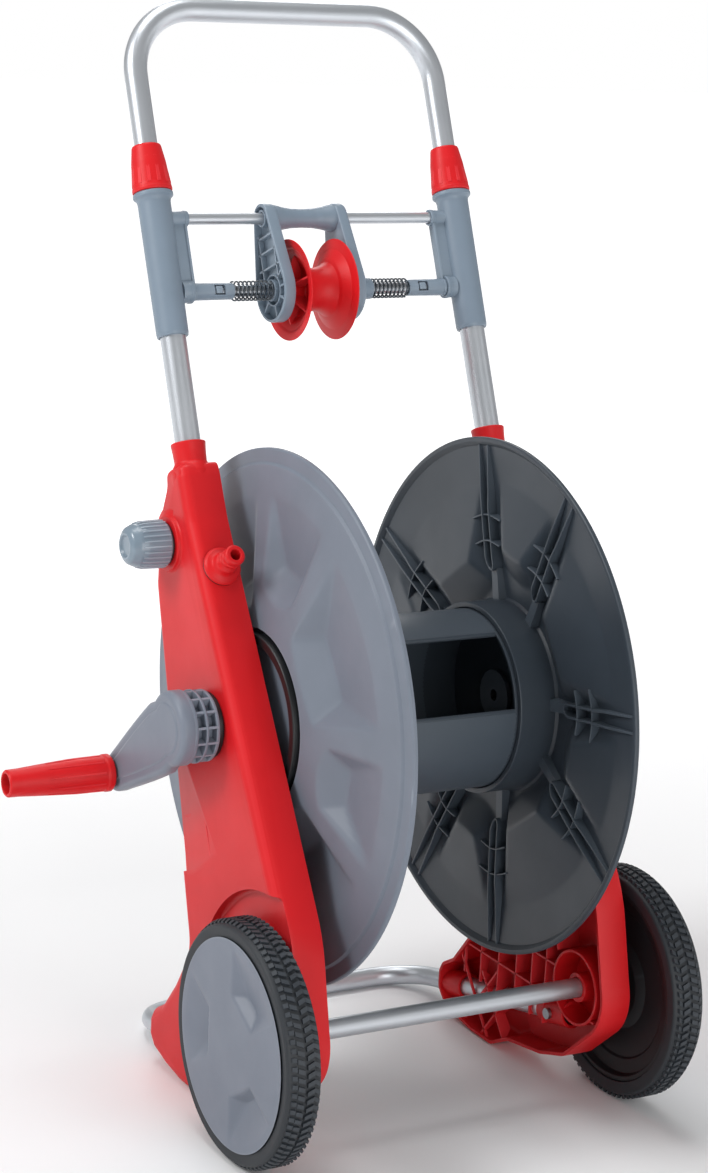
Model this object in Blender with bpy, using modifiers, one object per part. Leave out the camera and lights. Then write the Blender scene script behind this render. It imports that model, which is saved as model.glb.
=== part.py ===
"""Garden hose reel cart: a two-wheeled frame that carries a hose drum, a crank and a sprung hose guide.

Metres, +Z up. The frame's own datum is the point on the ground under the axle, half-way between the
side frames; +Y points to the back, where the cart leans, and -X is the crank side. Everything hangs
on the empty "cart_root", which moves that datum so that the whole cart's box stands on the origin.
"""

import math

import bmesh
import bpy
from mathutils import Matrix, Vector

# ---- driving dimensions -------------------------------------------------------------------------
GAP = 0.0003  # clearance between pieces that touch or run in each other
WALL = 0.003  # moulded wall of the side frames and drum discs

WHEEL_RADIUS = 0.099
TYRE_WIDTH = 0.030
TYRE_DEPTH = 0.015
WHEEL_GAP = 0.0007  # hub to side frame
CAP_RISE = 0.0008  # how far the wheel cap stands proud of the tyre
AXLE_DIAMETER = 0.0165
AXLE_WALL = 0.0015

DISC_RADIUS = 0.220
DISC_SPACING = 0.197  # between the inboard lips of the two discs
DISC_LIP = 0.006  # width of the rim
DISC_DISH = 0.0170  # how much further out the disc's hub is than its rim
BARREL_RADIUS = 0.076
BARREL_WALL = 0.0025
HUB_RECESS = 0.0055
REEL_GROUND_CLEARANCE = 0.026  # between the drum discs and the axle tube
REEL_LEAN = math.radians(27.8)  # of the line from the axle to the drum's centre
REEL_TURN = math.radians(9.4)  # how far the drum has turned at rest
SHAFT_RADIUS = 0.012
SHAFT_BORE = 0.006

FRAME_WIDTH = 0.035
FRAME_GAP = 0.003  # between the hub rings on the drum and the side frames
AXLE_BOSS_RADIUS = 0.044
ARCH_GAP = 0.019  # between the tyre and the arch in the side frame
ARCH_DEPTH = 0.0075

TUBE_DIAMETER = 0.0216
TUBE_WALL = 0.0007
HANDLE_DIAMETER = 0.0196
HANDLE_WALL = 0.0009
TUBE_LEAN = math.radians(23.5)
TUBE_FOOT_Y = -0.0165  # where the line of the tubes meets the ground
TUBE_SOCKET = 0.060  # length of lower tube inside the side frame
COLLAR_RISE = 0.0123  # collar above the drum's top, along the tubes
COLLAR_HEIGHT = 0.016
LOWER_TUBE_SHOWN = 0.089  # from the collar to the bracket
BRACKET_LENGTH = 0.119
BRACKET_WALL = 0.0024
FLANGE_RADIUS = 0.0169
FLANGE_HEIGHT = 0.0035
NUT_HEIGHT = 0.0405
HANDLE_LEG = 0.161  # from the top of the brackets to the middle of the top bar
HANDLE_BEND = 0.060
HANDLE_REACH_IN = 0.148  # length of handle leg inside the bracket and lower tube

GUIDE_ROD_RADIUS = 0.0049
GUIDE_ROD_DROP = 0.0185  # guide rod below the top of the bracket
SPINDLE_DROP = 0.0625  # spindle below the guide rod
SOCKET_END = 0.0225  # how far the rod sockets reach inboard of the tube centre line
SLEEVE_LENGTH = 0.0375
SLEEVE_RADIUS = 0.0071
SPRING_LENGTH = 0.0365
SPRING_WIRE = 0.0007
SPRING_COILS = 9
YOKE_HALF_WIDTH = 0.0395
YOKE_PLATE = 0.0105
YOKE_FOOT_RADIUS = 0.027
YOKE_HEAD_RADIUS = 0.0125
ROLLER_RADIUS = 0.0427
ROLLER_WAIST = 0.0193
ROLLER_RIMS = 0.0456  # between the two rims
BAR_WAIST = 0.0078

FOOT_TUBE_DIAMETER = 0.0174
FOOT_TUBE_WALL = 0.0012
FOOT_BAR_Y = 0.2807
FOOT_BEND = 0.045
FOOT_TUBE_INSET = 0.0030  # legs of the foot tube inboard of the handle tubes
FOOT_SCREW = (0.025, -0.034)  # screw from the axle, back and up

CRANK_ARM_LENGTH = 0.1180
CRANK_ARM_ANGLE = math.radians(-33.7)
CRANK_HUB_RADIUS = 0.031
CRANK_HUB_LENGTH = 0.034
CRANK_ARM_THICKNESS = 0.012
GRIP_LENGTH = 0.0925
GRIP_BASE_RADIUS = 0.0160
GRIP_TIP_RADIUS = 0.0114
GRIP_PIN_RADIUS = 0.004
COLLAR_RING_RADIUS = 0.027

KNOB_RADIUS = 0.0203
KNOB_LENGTH = 0.035
KNOB_BELOW_COLLAR = 0.0783
KNOB_BEHIND_TUBE = 0.022
SPIGOT_LENGTH = 0.030
SPIGOT_FLANGE = 0.0160
SPIGOT_BELOW_COLLAR = 0.1082
HOSE_RADIUS = 0.0068
HOSE_WALL = 0.0016

# ---- places that follow from them ---------------------------------------------------------------
AXLE_RADIUS = AXLE_DIAMETER / 2
TUBE_RADIUS = TUBE_DIAMETER / 2
HANDLE_RADIUS = HANDLE_DIAMETER / 2
FOOT_RADIUS = FOOT_TUBE_DIAMETER / 2

LIP_X = DISC_SPACING / 2
RIM_X = LIP_X + DISC_LIP
HUB_X = RIM_X + DISC_DISH
RING_X = HUB_X + 0.0035
FRAME_IN = RING_X + FRAME_GAP
FRAME_OUT = FRAME_IN + FRAME_WIDTH
WHEEL_IN = FRAME_OUT + 0.0005
WHEEL_OUT = WHEEL_IN + TYRE_WIDTH
CAP_X = WHEEL_OUT + CAP_RISE
TUBE_X = FRAME_IN + 0.0165
FOOT_X = TUBE_X - FOOT_TUBE_INSET

AXLE = Vector((0, WHEEL_RADIUS))
REEL_REACH = DISC_RADIUS + AXLE_RADIUS + REEL_GROUND_CLEARANCE
REEL = AXLE + REEL_REACH * Vector((math.sin(REEL_LEAN), math.cos(REEL_LEAN)))

TUBE_DIRECTION = Vector((math.sin(TUBE_LEAN), math.cos(TUBE_LEAN)))
TUBE_FRONT = Vector((-math.cos(TUBE_LEAN), math.sin(TUBE_LEAN)))
REEL_ALONG = (REEL - Vector((TUBE_FOOT_Y, 0))).dot(TUBE_DIRECTION)
COLLAR_TOP = REEL_ALONG + DISC_RADIUS + COLLAR_RISE
COLLAR_FOOT = COLLAR_TOP - COLLAR_HEIGHT
TUBE_END = COLLAR_TOP - TUBE_SOCKET
BRACKET_FOOT = COLLAR_TOP + LOWER_TUBE_SHOWN
BRACKET_TOP = BRACKET_FOOT + BRACKET_LENGTH
ROD_AT = BRACKET_TOP - GUIDE_ROD_DROP
SPINDLE_AT = ROD_AT - SPINDLE_DROP
NUT_FOOT = BRACKET_TOP + FLANGE_HEIGHT + GAP
NUT_TOP = NUT_FOOT + NUT_HEIGHT
HANDLE_TOP = BRACKET_TOP + HANDLE_LEG + FLANGE_HEIGHT
HANDLE_END = BRACKET_TOP - HANDLE_REACH_IN
KNOB_AT = COLLAR_TOP - KNOB_BELOW_COLLAR
SOCKET_X = TUBE_X - SOCKET_END
SLEEVE_X = SOCKET_X - SLEEVE_LENGTH
SPRING_X = SLEEVE_X - SPRING_LENGTH
YOKE_OFFSET = YOKE_HALF_WIDTH - SPRING_X  # the guide rests a little to the crank side

CRANK_BACK = FRAME_OUT + 0.005
CRANK_FACE = CRANK_BACK + CRANK_HUB_LENGTH
GRIP_X = CRANK_FACE + 0.0025
GRIP_TIP_X = GRIP_X + GRIP_LENGTH
GRIP = REEL + CRANK_ARM_LENGTH * Vector((math.cos(CRANK_ARM_ANGLE), math.sin(CRANK_ARM_ANGLE)))
HANDLE_BACK = TUBE_FOOT_Y + HANDLE_TOP * TUBE_DIRECTION.x + HANDLE_RADIUS
FRONT = min(-WHEEL_RADIUS, REEL.x - DISC_RADIUS)
ORIGIN = Vector(((GRIP_TIP_X - CAP_X) / 2, -(FRONT + HANDLE_BACK) / 2, 0))

COLOURS = {
    "red": ((0.70, 0.035, 0.040), 0.32, 0.0),
    "drum_grey": ((0.22, 0.25, 0.29), 0.45, 0.0),
    "dark_grey": ((0.10, 0.13, 0.15), 0.50, 0.0),
    "arm_grey": ((0.27, 0.30, 0.35), 0.45, 0.0),
    "black": ((0.012, 0.013, 0.015), 0.55, 0.0),
    "tyre": ((0.016, 0.018, 0.021), 0.75, 0.0),
    "tube_steel": ((0.62, 0.63, 0.64), 0.30, 1.0),
    "steel": ((0.45, 0.46, 0.48), 0.35, 1.0),
    "hose": ((0.02, 0.02, 0.02), 0.60, 0.0),
}

for old in list(bpy.data.objects):
    bpy.data.objects.remove(old, do_unlink=True)

PARTS = bpy.data.collections.new("garden_hose_reel_cart")
CUTTERS = bpy.data.collections.new("cutters")
bpy.context.scene.collection.children.link(PARTS)
bpy.context.scene.collection.children.link(CUTTERS)


# ---- helpers ------------------------------------------------------------------------------------
def finish(name):
    """Return the material of this name, made on first use."""
    material = bpy.data.materials.get(name)
    if material is None:
        colour, roughness, metallic = COLOURS[name]
        material = bpy.data.materials.new(name)
        material.use_nodes = True
        shader = material.node_tree.nodes["Principled BSDF"]
        shader.inputs["Base Color"].default_value = (*colour, 1.0)
        shader.inputs["Roughness"].default_value = roughness
        shader.inputs["Metallic"].default_value = metallic
    return material


def place(obj, parent, location=(0, 0, 0), rotation=(0, 0, 0)):
    """Parent an object to an empty and set where it sits in it."""
    obj.parent = parent
    obj.location = location
    obj.rotation_euler = rotation
    return obj


def empty(name, parent=None, location=(0, 0, 0), rotation=(0, 0, 0)):
    """Make an empty that other objects hang on."""
    obj = bpy.data.objects.new(name, None)
    PARTS.objects.link(obj)
    return place(obj, parent, location, rotation)


def made(name, mesh, material=None):
    """Link a mesh as a part of the cart, or as a cutter when it has no material."""
    obj = bpy.data.objects.new(name, mesh)
    if material is None:
        CUTTERS.objects.link(obj)
        obj.hide_render = True
        obj.display_type = "WIRE"
    else:
        PARTS.objects.link(obj)
        mesh.materials.append(finish(material))
    return obj


def smooth(obj, angle=35):
    """Shade a round piece smooth, but keep its edges sharp."""
    obj.data.shade_smooth()
    obj.data.set_sharp_from_angle(angle=math.radians(angle))
    return obj


def turned(name, profile, material=None, segments=32, start=0.0):
    """Turn a closed profile of (radius, height) points about Z; it runs down its outer side."""
    mesh = bpy.data.meshes.new(name)
    count = len(profile)
    closed = profile[0][0] > 0 or profile[-1][0] > 0
    edges = [(i, i + 1) for i in range(count - 1)]
    if closed:
        edges.append((count - 1, 0))
    turn = Matrix.Rotation(start, 3, "Z")
    mesh.from_pydata([turn @ Vector((r, 0, h)) for r, h in profile], edges, [])
    obj = made(name, mesh, material)
    screw = obj.modifiers.new("turn", "SCREW")
    screw.axis = "Z"
    screw.angle = 2 * math.pi
    screw.steps = segments
    screw.render_steps = segments
    screw.use_merge_vertices = True
    screw.merge_threshold = 0.00001
    return evaluated(obj)


def evaluated(obj):
    """Turn an object with modifiers, or a curve, into a plain welded mesh object of the same name."""
    bpy.context.view_layer.update()
    seen = obj.evaluated_get(bpy.context.evaluated_depsgraph_get())
    mesh = bpy.data.meshes.new_from_object(seen)
    name, material = obj.name, obj.data.materials[0].name if obj.data.materials else None
    matrix = obj.matrix_world.copy()
    parent = obj.parent
    local = obj.matrix_local.copy()
    bpy.data.objects.remove(obj, do_unlink=True)
    body = bmesh.new()
    body.from_mesh(mesh)
    bmesh.ops.remove_doubles(body, verts=body.verts, dist=0.000005)
    bmesh.ops.recalc_face_normals(body, faces=body.faces)
    body.to_mesh(mesh)
    body.free()
    mesh.materials.clear()
    fresh = made(name, mesh, material)
    fresh.parent = parent
    fresh.matrix_world = matrix
    if parent is not None:
        fresh.matrix_local = local
    return smooth(fresh)


def ring(name, outer, inner, low, high, material=None, segments=24):
    """A plain ring or tube about Z."""
    return turned(name, [(outer, high), (outer, low), (inner, low), (inner, high)], material, segments)


def rod(name, radius, low, high, material=None, segments=16):
    """A plain round bar about Z."""
    mesh = bpy.data.meshes.new(name)
    body = bmesh.new()
    middle = Matrix.Translation((0, 0, (low + high) / 2))
    bmesh.ops.create_cone(body, cap_ends=True, segments=segments, radius1=radius, radius2=radius,
                          depth=high - low, matrix=middle)
    body.to_mesh(mesh)
    body.free()
    return smooth(made(name, mesh, material))


def block(name, low, high, material=None):
    """A box between two corners."""
    mesh = bpy.data.meshes.new(name)
    body = bmesh.new()
    low, high = Vector(map(min, low, high)), Vector(map(max, low, high))
    size = Matrix.Diagonal((*(high - low), 1))
    bmesh.ops.create_cube(body, size=1, matrix=Matrix.Translation((low + high) / 2) @ size)
    body.to_mesh(mesh)
    body.free()
    return made(name, mesh, material)


def plate(name, outline, low, high, material=None):
    """A flat outline of (y, z) points, extruded along X from low to high."""
    curve = bpy.data.curves.new(name, "CURVE")
    curve.dimensions = "2D"
    curve.fill_mode = "BOTH"
    curve.extrude = (high - low) / 2
    spline = curve.splines.new("POLY")
    spline.points.add(len(outline) - 1)
    for point, (y, z) in zip(spline.points, outline, strict=True):
        point.co = (y, z, 0, 1)
    spline.use_cyclic_u = True
    obj = bpy.data.objects.new(name, curve)
    CUTTERS.objects.link(obj)
    obj.matrix_world = Matrix(((0, 0, 1, (low + high) / 2), (1, 0, 0, 0), (0, 1, 0, 0), (0, 0, 0, 1)))
    obj = evaluated(obj)
    obj.data.transform(obj.matrix_world)
    obj.matrix_world = Matrix()
    if material is not None:
        CUTTERS.objects.unlink(obj)
        PARTS.objects.link(obj)
        obj.hide_render = False
        obj.display_type = "TEXTURED"
        obj.data.materials.append(finish(material))
    return obj


def pipe(name, points, radius, wall=0.0, material=None, sides=2):
    """A tube along a route, hollow when it has a wall."""
    curve = bpy.data.curves.new(name, "CURVE")
    curve.dimensions = "3D"
    curve.bevel_depth = radius
    curve.bevel_resolution = sides
    curve.use_fill_caps = wall == 0.0
    spline = curve.splines.new("POLY")
    spline.points.add(len(points) - 1)
    for point, place_at in zip(spline.points, points, strict=True):
        point.co = (*place_at, 1)
    obj = bpy.data.objects.new(name, curve)
    (CUTTERS if material is None else PARTS).objects.link(obj)
    if material is not None:
        curve.materials.append(finish(material))
    obj = evaluated(obj)
    if wall:
        shell = obj.modifiers.new("wall", "SOLIDIFY")
        shell.thickness = wall
        shell.offset = -1
    return obj


def modified(obj, kind, tool):
    """Add one exact Boolean with a tool object."""
    step = obj.modifiers.new(kind.lower(), "BOOLEAN")
    step.operation = kind
    step.solver = "EXACT"
    step.object = tool
    return obj


def cut(obj, *tools):
    """Take the tools out of an object."""
    for tool in tools:
        modified(obj, "DIFFERENCE", tool)
    return obj


def join(obj, *tools):
    """Unite the tools with an object."""
    for tool in tools:
        modified(obj, "UNION", tool)
    return obj


def arc(centre, radius, first, last, steps):
    """Points of an arc between two angles in degrees, both ends in."""
    angles = [math.radians(first + (last - first) * i / steps) for i in range(steps + 1)]
    return [centre + radius * Vector((math.cos(a), math.sin(a))) for a in angles]


def inset(outline, distance):
    """The same clockwise or anticlockwise outline, a wall further in."""
    count = len(outline)
    area = sum(outline[i].cross(outline[(i + 1) % count]) for i in range(count))
    side = 1 if area > 0 else -1
    result = []
    for i in range(count):
        before = (outline[i] - outline[i - 1]).normalized()
        after = (outline[(i + 1) % count] - outline[i]).normalized()
        first = side * Vector((-before.y, before.x))
        second = side * Vector((-after.y, after.x))
        bisector = (first + second).normalized()
        reach = distance / max(0.5, bisector.dot(first))
        result.append(outline[i] + bisector * reach)
    return result


def along(length, front=0.0):
    """The (y, z) point at a length along the line of the tubes, and a distance in front of it."""
    return Vector((TUBE_FOOT_Y, 0)) + length * TUBE_DIRECTION + front * TUBE_FRONT


def toward(direction):
    """The rotation that turns +Z to a (y, z) direction across the cart."""
    return math.atan2(-direction.x, direction.y), 0, 0


X_AXIS = (0, math.pi / 2, 0)  # turns a piece made about Z so that its Z runs along +X
ROOT = empty("cart_root", None, ORIGIN)
SIDES = {"left": -1, "right": 1}


def axis_empty(name, centre):
    """An empty on a cross axis of the cart, whose Z runs along +X."""
    return empty(name, ROOT, (0, centre.x, centre.y), X_AXIS)


AXLE_LINE = axis_empty("axle_line", AXLE)
REEL_LINE = axis_empty("reel_line", REEL)
GRIP_LINE = axis_empty("grip_line", GRIP)
KNOB_LINE = axis_empty("knob_line", along(KNOB_AT, -KNOB_BEHIND_TUBE))
ROD_LINE = axis_empty("guide_rod_line", along(ROD_AT))
SPINDLE_LINE = axis_empty("spindle_line", along(SPINDLE_AT))
TUBE_LINES = {
    side: empty(f"tube_line_{side}", ROOT, (sign * TUBE_X, TUBE_FOOT_Y, 0), (-TUBE_LEAN, 0, 0))
    for side, sign in SIDES.items()
}


def span(sign, inner, outer):
    """Low and high X of something that lies between two distances from the middle."""
    return (inner, outer) if sign > 0 else (-outer, -inner)


# ---- side frames --------------------------------------------------------------------------------
FOOT_START = AXLE + Vector(FOOT_SCREW)
FOOT_END = Vector((FOOT_BAR_Y, FOOT_RADIUS))
FOOT_DIRECTION = (FOOT_END - FOOT_START).normalized()
HEEL_Y = FOOT_BAR_Y - 0.070


def frame_outline():
    """Side view of a side frame: axle boss, front edge, tube shoulder, back edge, then the foot."""
    shoulder = TUBE_RADIUS + 0.0067
    heel = FOOT_START + FOOT_DIRECTION * ((HEEL_Y - FOOT_START.x) / FOOT_DIRECTION.x)
    back_top = along(COLLAR_TOP - 0.105, -0.0618)
    front = arc(AXLE, AXLE_BOSS_RADIUS, 237, 158, 6)
    front += [AXLE + Vector((-0.022, 0.087))]
    front += [along(COLLAR_TOP - 0.066, 0.0195), along(COLLAR_FOOT - 0.014, shoulder)]
    front += [along(COLLAR_FOOT - 0.006, shoulder - 0.002), along(COLLAR_FOOT - 0.006, 0.002 - shoulder)]
    back = [along(COLLAR_FOOT - 0.016, -shoulder), along(COLLAR_TOP - 0.052, -0.0375), back_top]
    foot = [AXLE + Vector((0.142, 0.025)), AXLE + Vector((0.166, -0.014))]
    foot += [heel + Vector((-0.022, 0.028)), heel + Vector((-0.006, 0.023)), heel + Vector((0, 0.014))]
    foot += [heel + Vector((0, -0.004)), heel + Vector((-0.008, -0.0125))]
    foot += [Vector((HEEL_Y - 0.035, 0.005)), Vector((HEEL_Y - 0.060, 0.0015))]
    foot += [Vector((HEEL_Y - 0.092, 0.0015)), Vector((HEEL_Y - 0.118, 0.015))]
    foot += [AXLE + Vector((0.042, -0.072)), AXLE + Vector((0.010, -0.063))]
    return front + back + foot


def boss(name, line, sign, radius, inner, outer, segments=24):
    """A cutter or filler cylinder about a cross axis, between two distances from the middle."""
    low, high = span(sign, inner, outer)
    return place(rod(name, radius, low, high, segments=segments), line)


def frame_ribs(side, sign, outline):
    """Moulded ribs inside a side frame, trimmed to its outline."""
    low, high = span(sign, FRAME_IN + 0.004, FRAME_OUT - 0.001)
    centre = AXLE.lerp(REEL, 0.5)
    across = Vector((math.cos(REEL_LEAN), -math.sin(REEL_LEAN)))
    ribs = []
    for index, height in enumerate((-0.035, 0.045)):
        middle = centre + Vector((math.sin(REEL_LEAN), math.cos(REEL_LEAN))) * height
        ends = (middle - across * 0.2, middle + across * 0.2)
        half = Vector((-across.y, across.x)) * WALL * 0.4
        strip = [ends[0] - half, ends[1] - half, ends[1] + half, ends[0] + half]
        rib = place(plate(f"rib_{index}_{side}", strip, low, high), ROOT)
        trim = place(plate(f"rib_trim_{index}_{side}", inset(outline, WALL / 2), low - 1, high + 1), ROOT)
        modified(rib, "INTERSECT", trim)
        ribs.append(rib)
    return ribs


def side_frame(side, sign):
    """One moulded side frame: a shell open to the drum, with bosses for everything it carries."""
    outline = frame_outline()
    body = place(plate(f"{side}_side_frame", outline, *span(sign, FRAME_IN, FRAME_OUT), "red"), ROOT)
    arch = boss(f"arch_{side}", AXLE_LINE, sign, WHEEL_RADIUS + ARCH_GAP, FRAME_OUT - ARCH_DEPTH,
                FRAME_OUT + 0.01, 48)
    hollow = place(plate(f"hollow_{side}", inset(outline, WALL),
                         *span(sign, FRAME_IN - 0.01, FRAME_OUT - WALL)), ROOT)
    keep = boss(f"arch_wall_{side}", AXLE_LINE, sign, WHEEL_RADIUS + ARCH_GAP + WALL,
                FRAME_OUT - ARCH_DEPTH - WALL, FRAME_OUT + 0.02, 48)
    cut(hollow, keep)
    cut(body, arch, hollow)
    join(body, *frame_ribs(side, sign, outline))
    add_bosses(body, side, sign)
    return body


def add_bosses(body, side, sign):
    """Unite the bosses with a side frame and bore them."""
    outer = FRAME_OUT - 0.0002
    axle_boss = boss(f"axle_boss_{side}", AXLE_LINE, sign, 0.030, FRAME_IN + 0.0015, outer)
    reel_boss = boss(f"reel_boss_{side}", REEL_LINE, sign, 0.0210, FRAME_OUT - 0.015, FRAME_OUT - 0.001)
    socket = place(rod(f"tube_boss_{side}", TUBE_RADIUS + 0.0032, TUBE_END - 0.003, COLLAR_TOP,
                       segments=16), TUBE_LINES[side])
    shoulder = place(rod(f"tube_shoulder_{side}", TUBE_RADIUS + 0.0055, COLLAR_FOOT - 0.030,
                         COLLAR_FOOT, segments=16), TUBE_LINES[side])
    foot_line = empty(f"foot_line_{side}", ROOT, (sign * FOOT_X, FOOT_START.x, FOOT_START.y),
                      toward(FOOT_DIRECTION))
    foot_socket = place(rod(f"foot_boss_{side}", FOOT_RADIUS + 0.0028, -0.012,
                            (HEEL_Y - FOOT_START.x) / FOOT_DIRECTION.x - 0.001), foot_line)
    trim = place(block(f"foot_trim_{side}", *corner_box(sign)), ROOT)
    modified(foot_socket, "INTERSECT", trim)
    join(body, axle_boss, reel_boss, socket, shoulder, foot_socket)
    tube_bore = place(rod(f"tube_bore_{side}", TUBE_RADIUS + GAP, TUBE_END - 0.0003, COLLAR_TOP + 0.01),
                      TUBE_LINES[side])
    foot_bore = place(rod(f"foot_bore_{side}", FOOT_RADIUS + GAP, -0.010, 0.30), foot_line)
    axle_bore = boss(f"axle_bore_{side}", AXLE_LINE, sign, AXLE_RADIUS + GAP, 0.1, 0.2, 16)
    deep = FRAME_OUT + 0.01 if side == "left" else FRAME_OUT - 0.004
    reel_bore = boss(f"reel_bore_{side}", REEL_LINE, sign, 0.0170 + GAP, 0.1, deep)
    cut(body, tube_bore, foot_bore, axle_bore, reel_bore)
    if side == "left":
        knob_boss = boss("knob_boss", KNOB_LINE, sign, KNOB_RADIUS + 0.0025, FRAME_OUT - WALL,
                         FRAME_OUT + 0.0035, 32)
        knob_bore = boss("knob_bore", KNOB_LINE, sign, 0.0145, 0.1, FRAME_OUT - 0.001)
        knob_hole = boss("knob_hole", KNOB_LINE, sign, 0.0080, 0.1, FRAME_OUT + 0.01, 16)
        join(body, knob_boss)
        spigot_hole = place(rod("spigot_hole", 0.0090, -0.020, 0.020), SPIGOT_LINE)
        cut(body, knob_bore, knob_hole, spigot_hole)


def corner_box(sign):
    """Low and high corners of the space inside a side frame's side walls."""
    low, high = span(sign, FRAME_IN + 0.001, FRAME_OUT - ARCH_DEPTH - 0.0002)
    return (low, -1, 0), (high, 1, 1)


# ---- wheels and axle ----------------------------------------------------------------------------
def wheel(side, sign):
    """Tyre, moulded rim and snap-in cap of one wheel, and the push-on washer that holds it."""
    line = empty(f"wheel_{side}", AXLE_LINE, (0, 0, 0), (0, 0 if sign > 0 else math.pi, 0))
    hub_bore = AXLE_RADIUS + GAP
    bead = WHEEL_RADIUS - TYRE_DEPTH
    rim_in, rim_out = WHEEL_IN + 0.0025, WHEEL_OUT - 0.0035
    web = WHEEL_IN + TYRE_WIDTH * 0.40
    hub_in = FRAME_OUT + WHEEL_GAP
    hub_out = WHEEL_OUT - 0.0072
    rim = [(bead - GAP, rim_out), (bead - GAP, rim_in), (bead - 0.004, rim_in), (bead - 0.006, web - 0.003),
           (0.040, web - 0.0015), (0.032, web - 0.006), (0.016, web - 0.006), (0.016, hub_in),
           (hub_bore, hub_in), (hub_bore, hub_out), (0.0150, hub_out), (0.0150, web + 0.0015),
           (bead - 0.009, web + 0.0015), (bead - 0.004, rim_out)]
    place(turned(f"wheel_rim_{side}", rim, "dark_grey", 36), line)
    shoulder = TYRE_DEPTH * 0.25
    tyre = [(bead, WHEEL_OUT), (WHEEL_RADIUS - shoulder, WHEEL_OUT), (WHEEL_RADIUS, WHEEL_OUT - shoulder),
            (WHEEL_RADIUS, WHEEL_IN + shoulder), (WHEEL_RADIUS - shoulder, WHEEL_IN), (bead, WHEEL_IN)]
    place(turned(f"tyre_{side}", tyre, "tyre", 36), line)
    inner = bead - 0.0105
    cap = [(0, CAP_X), (bead * 0.6, CAP_X - 0.0001), (bead + 0.0010, CAP_X - 0.0003),
           (bead + 0.0010, WHEEL_OUT + GAP), (bead - 0.004, WHEEL_OUT + GAP),
           (bead - 0.007, WHEEL_OUT - 0.0025), (inner, WHEEL_OUT - 0.006),
           (inner - 0.0015, WHEEL_OUT - 0.006), (inner - 0.0015, WHEEL_OUT - 0.0022),
           (0, WHEEL_OUT - 0.0022)]
    wheel_cap = place(turned(f"wheel_cap_{side}", cap, "arm_grey", 36), line)
    washer = ring(f"axle_washer_{side}", 0.0130, AXLE_RADIUS + GAP, WHEEL_OUT - 0.0066, WHEEL_OUT - 0.0052,
                  "steel", 12)
    place(washer, line)


def axle():
    """The axle tube, which runs through both side frames and both wheels."""
    end = WHEEL_OUT - 0.0035
    tube = ring("axle_tube", AXLE_RADIUS, AXLE_RADIUS - AXLE_WALL, -end, end, "tube_steel", 16)
    place(tube, AXLE_LINE)


def foot_tube():
    """The bent tube at the back that the cart stands on."""
    along_leg = FOOT_END - FOOT_START
    corner = along_leg.length - FOOT_BEND
    leg_end = FOOT_START + FOOT_DIRECTION * corner
    half = [(-FOOT_X, FOOT_START.x, FOOT_START.y), (-FOOT_X, leg_end.x, leg_end.y)]
    for step in range(1, 7):
        angle = math.pi / 2 * step / 6
        reach = corner + FOOT_BEND * math.sin(angle)
        at = FOOT_START + FOOT_DIRECTION * reach
        half.append((-FOOT_X + FOOT_BEND * (1 - math.cos(angle)), at.x, at.y))
    route = half + [(-x, y, z) for x, y, z in reversed(half)]
    place(pipe("foot_tube", route, FOOT_RADIUS, FOOT_TUBE_WALL, "tube_steel", 3), ROOT)


def foot_screws():
    """The screws that hold the foot tube's legs in the side frames."""
    at = FOOT_START + FOOT_DIRECTION * 0.010
    for side, sign in SIDES.items():
        line = axis_empty(f"foot_screw_line_{side}", at)
        head_x = FOOT_X - FOOT_RADIUS - 0.0032
        low, high = span(sign, head_x - 0.0030, head_x)
        screw = place(rod(f"foot_screw_{side}", 0.0048, low, high, "steel", 12), line)
        shank = place(rod(f"foot_screw_shank_{side}", 0.0018, *span(sign, head_x - 0.001, head_x + 0.0155),
                          segments=8), line)
        join(screw, shank)
        hole = place(rod(f"foot_screw_hole_{side}", 0.0022, *span(sign, head_x - 0.004, head_x + 0.0165),
                         segments=8), line)
        cut(bpy.data.objects[f"{side}_side_frame"], hole)
        if side == "left":
            cut(bpy.data.objects["foot_tube"], hole)
        else:
            cut(bpy.data.objects["foot_tube"], hole)


# ---- drum ---------------------------------------------------------------------------------------
def disc_profile():
    """Section of a drum disc: rim, inner face, barrel collar, hub, then the outer face."""
    floor = HUB_X - HUB_RECESS
    inner = BARREL_RADIUS + 0.0062
    rim = [(DISC_RADIUS, RIM_X - 0.0008), (DISC_RADIUS, LIP_X), (DISC_RADIUS - 0.0045, LIP_X),
           (DISC_RADIUS - 0.0065, cone(DISC_RADIUS) - WALL)]
    hub = [(inner, HUB_X - WALL), (inner - 0.0006, BARREL_END), (BARREL_RADIUS + GAP * 2, BARREL_END),
           (BARREL_RADIUS + GAP * 2, floor - WALL), (0.0180, floor - WALL), (0.0180, floor - 0.0055),
           (SHAFT_RADIUS + GAP, floor - 0.0055), (SHAFT_RADIUS + GAP, floor + 0.0035),
           (0.0180, floor + 0.0035), (0.0180, floor), (BARREL_RADIUS - 0.0020, floor),
           (BARREL_RADIUS, cone(BARREL_RADIUS))]
    return rim + hub + [(DISC_RADIUS - 0.0020, RIM_X)]


BARREL_END = LIP_X - 0.0165
POCKET_END = DISC_RADIUS - 0.042


def cone(radius):
    """How far out the outer face of a disc is at a radius."""
    share = (DISC_RADIUS - radius) / (DISC_RADIUS - BARREL_RADIUS)
    return RIM_X + DISC_DISH * share


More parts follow.
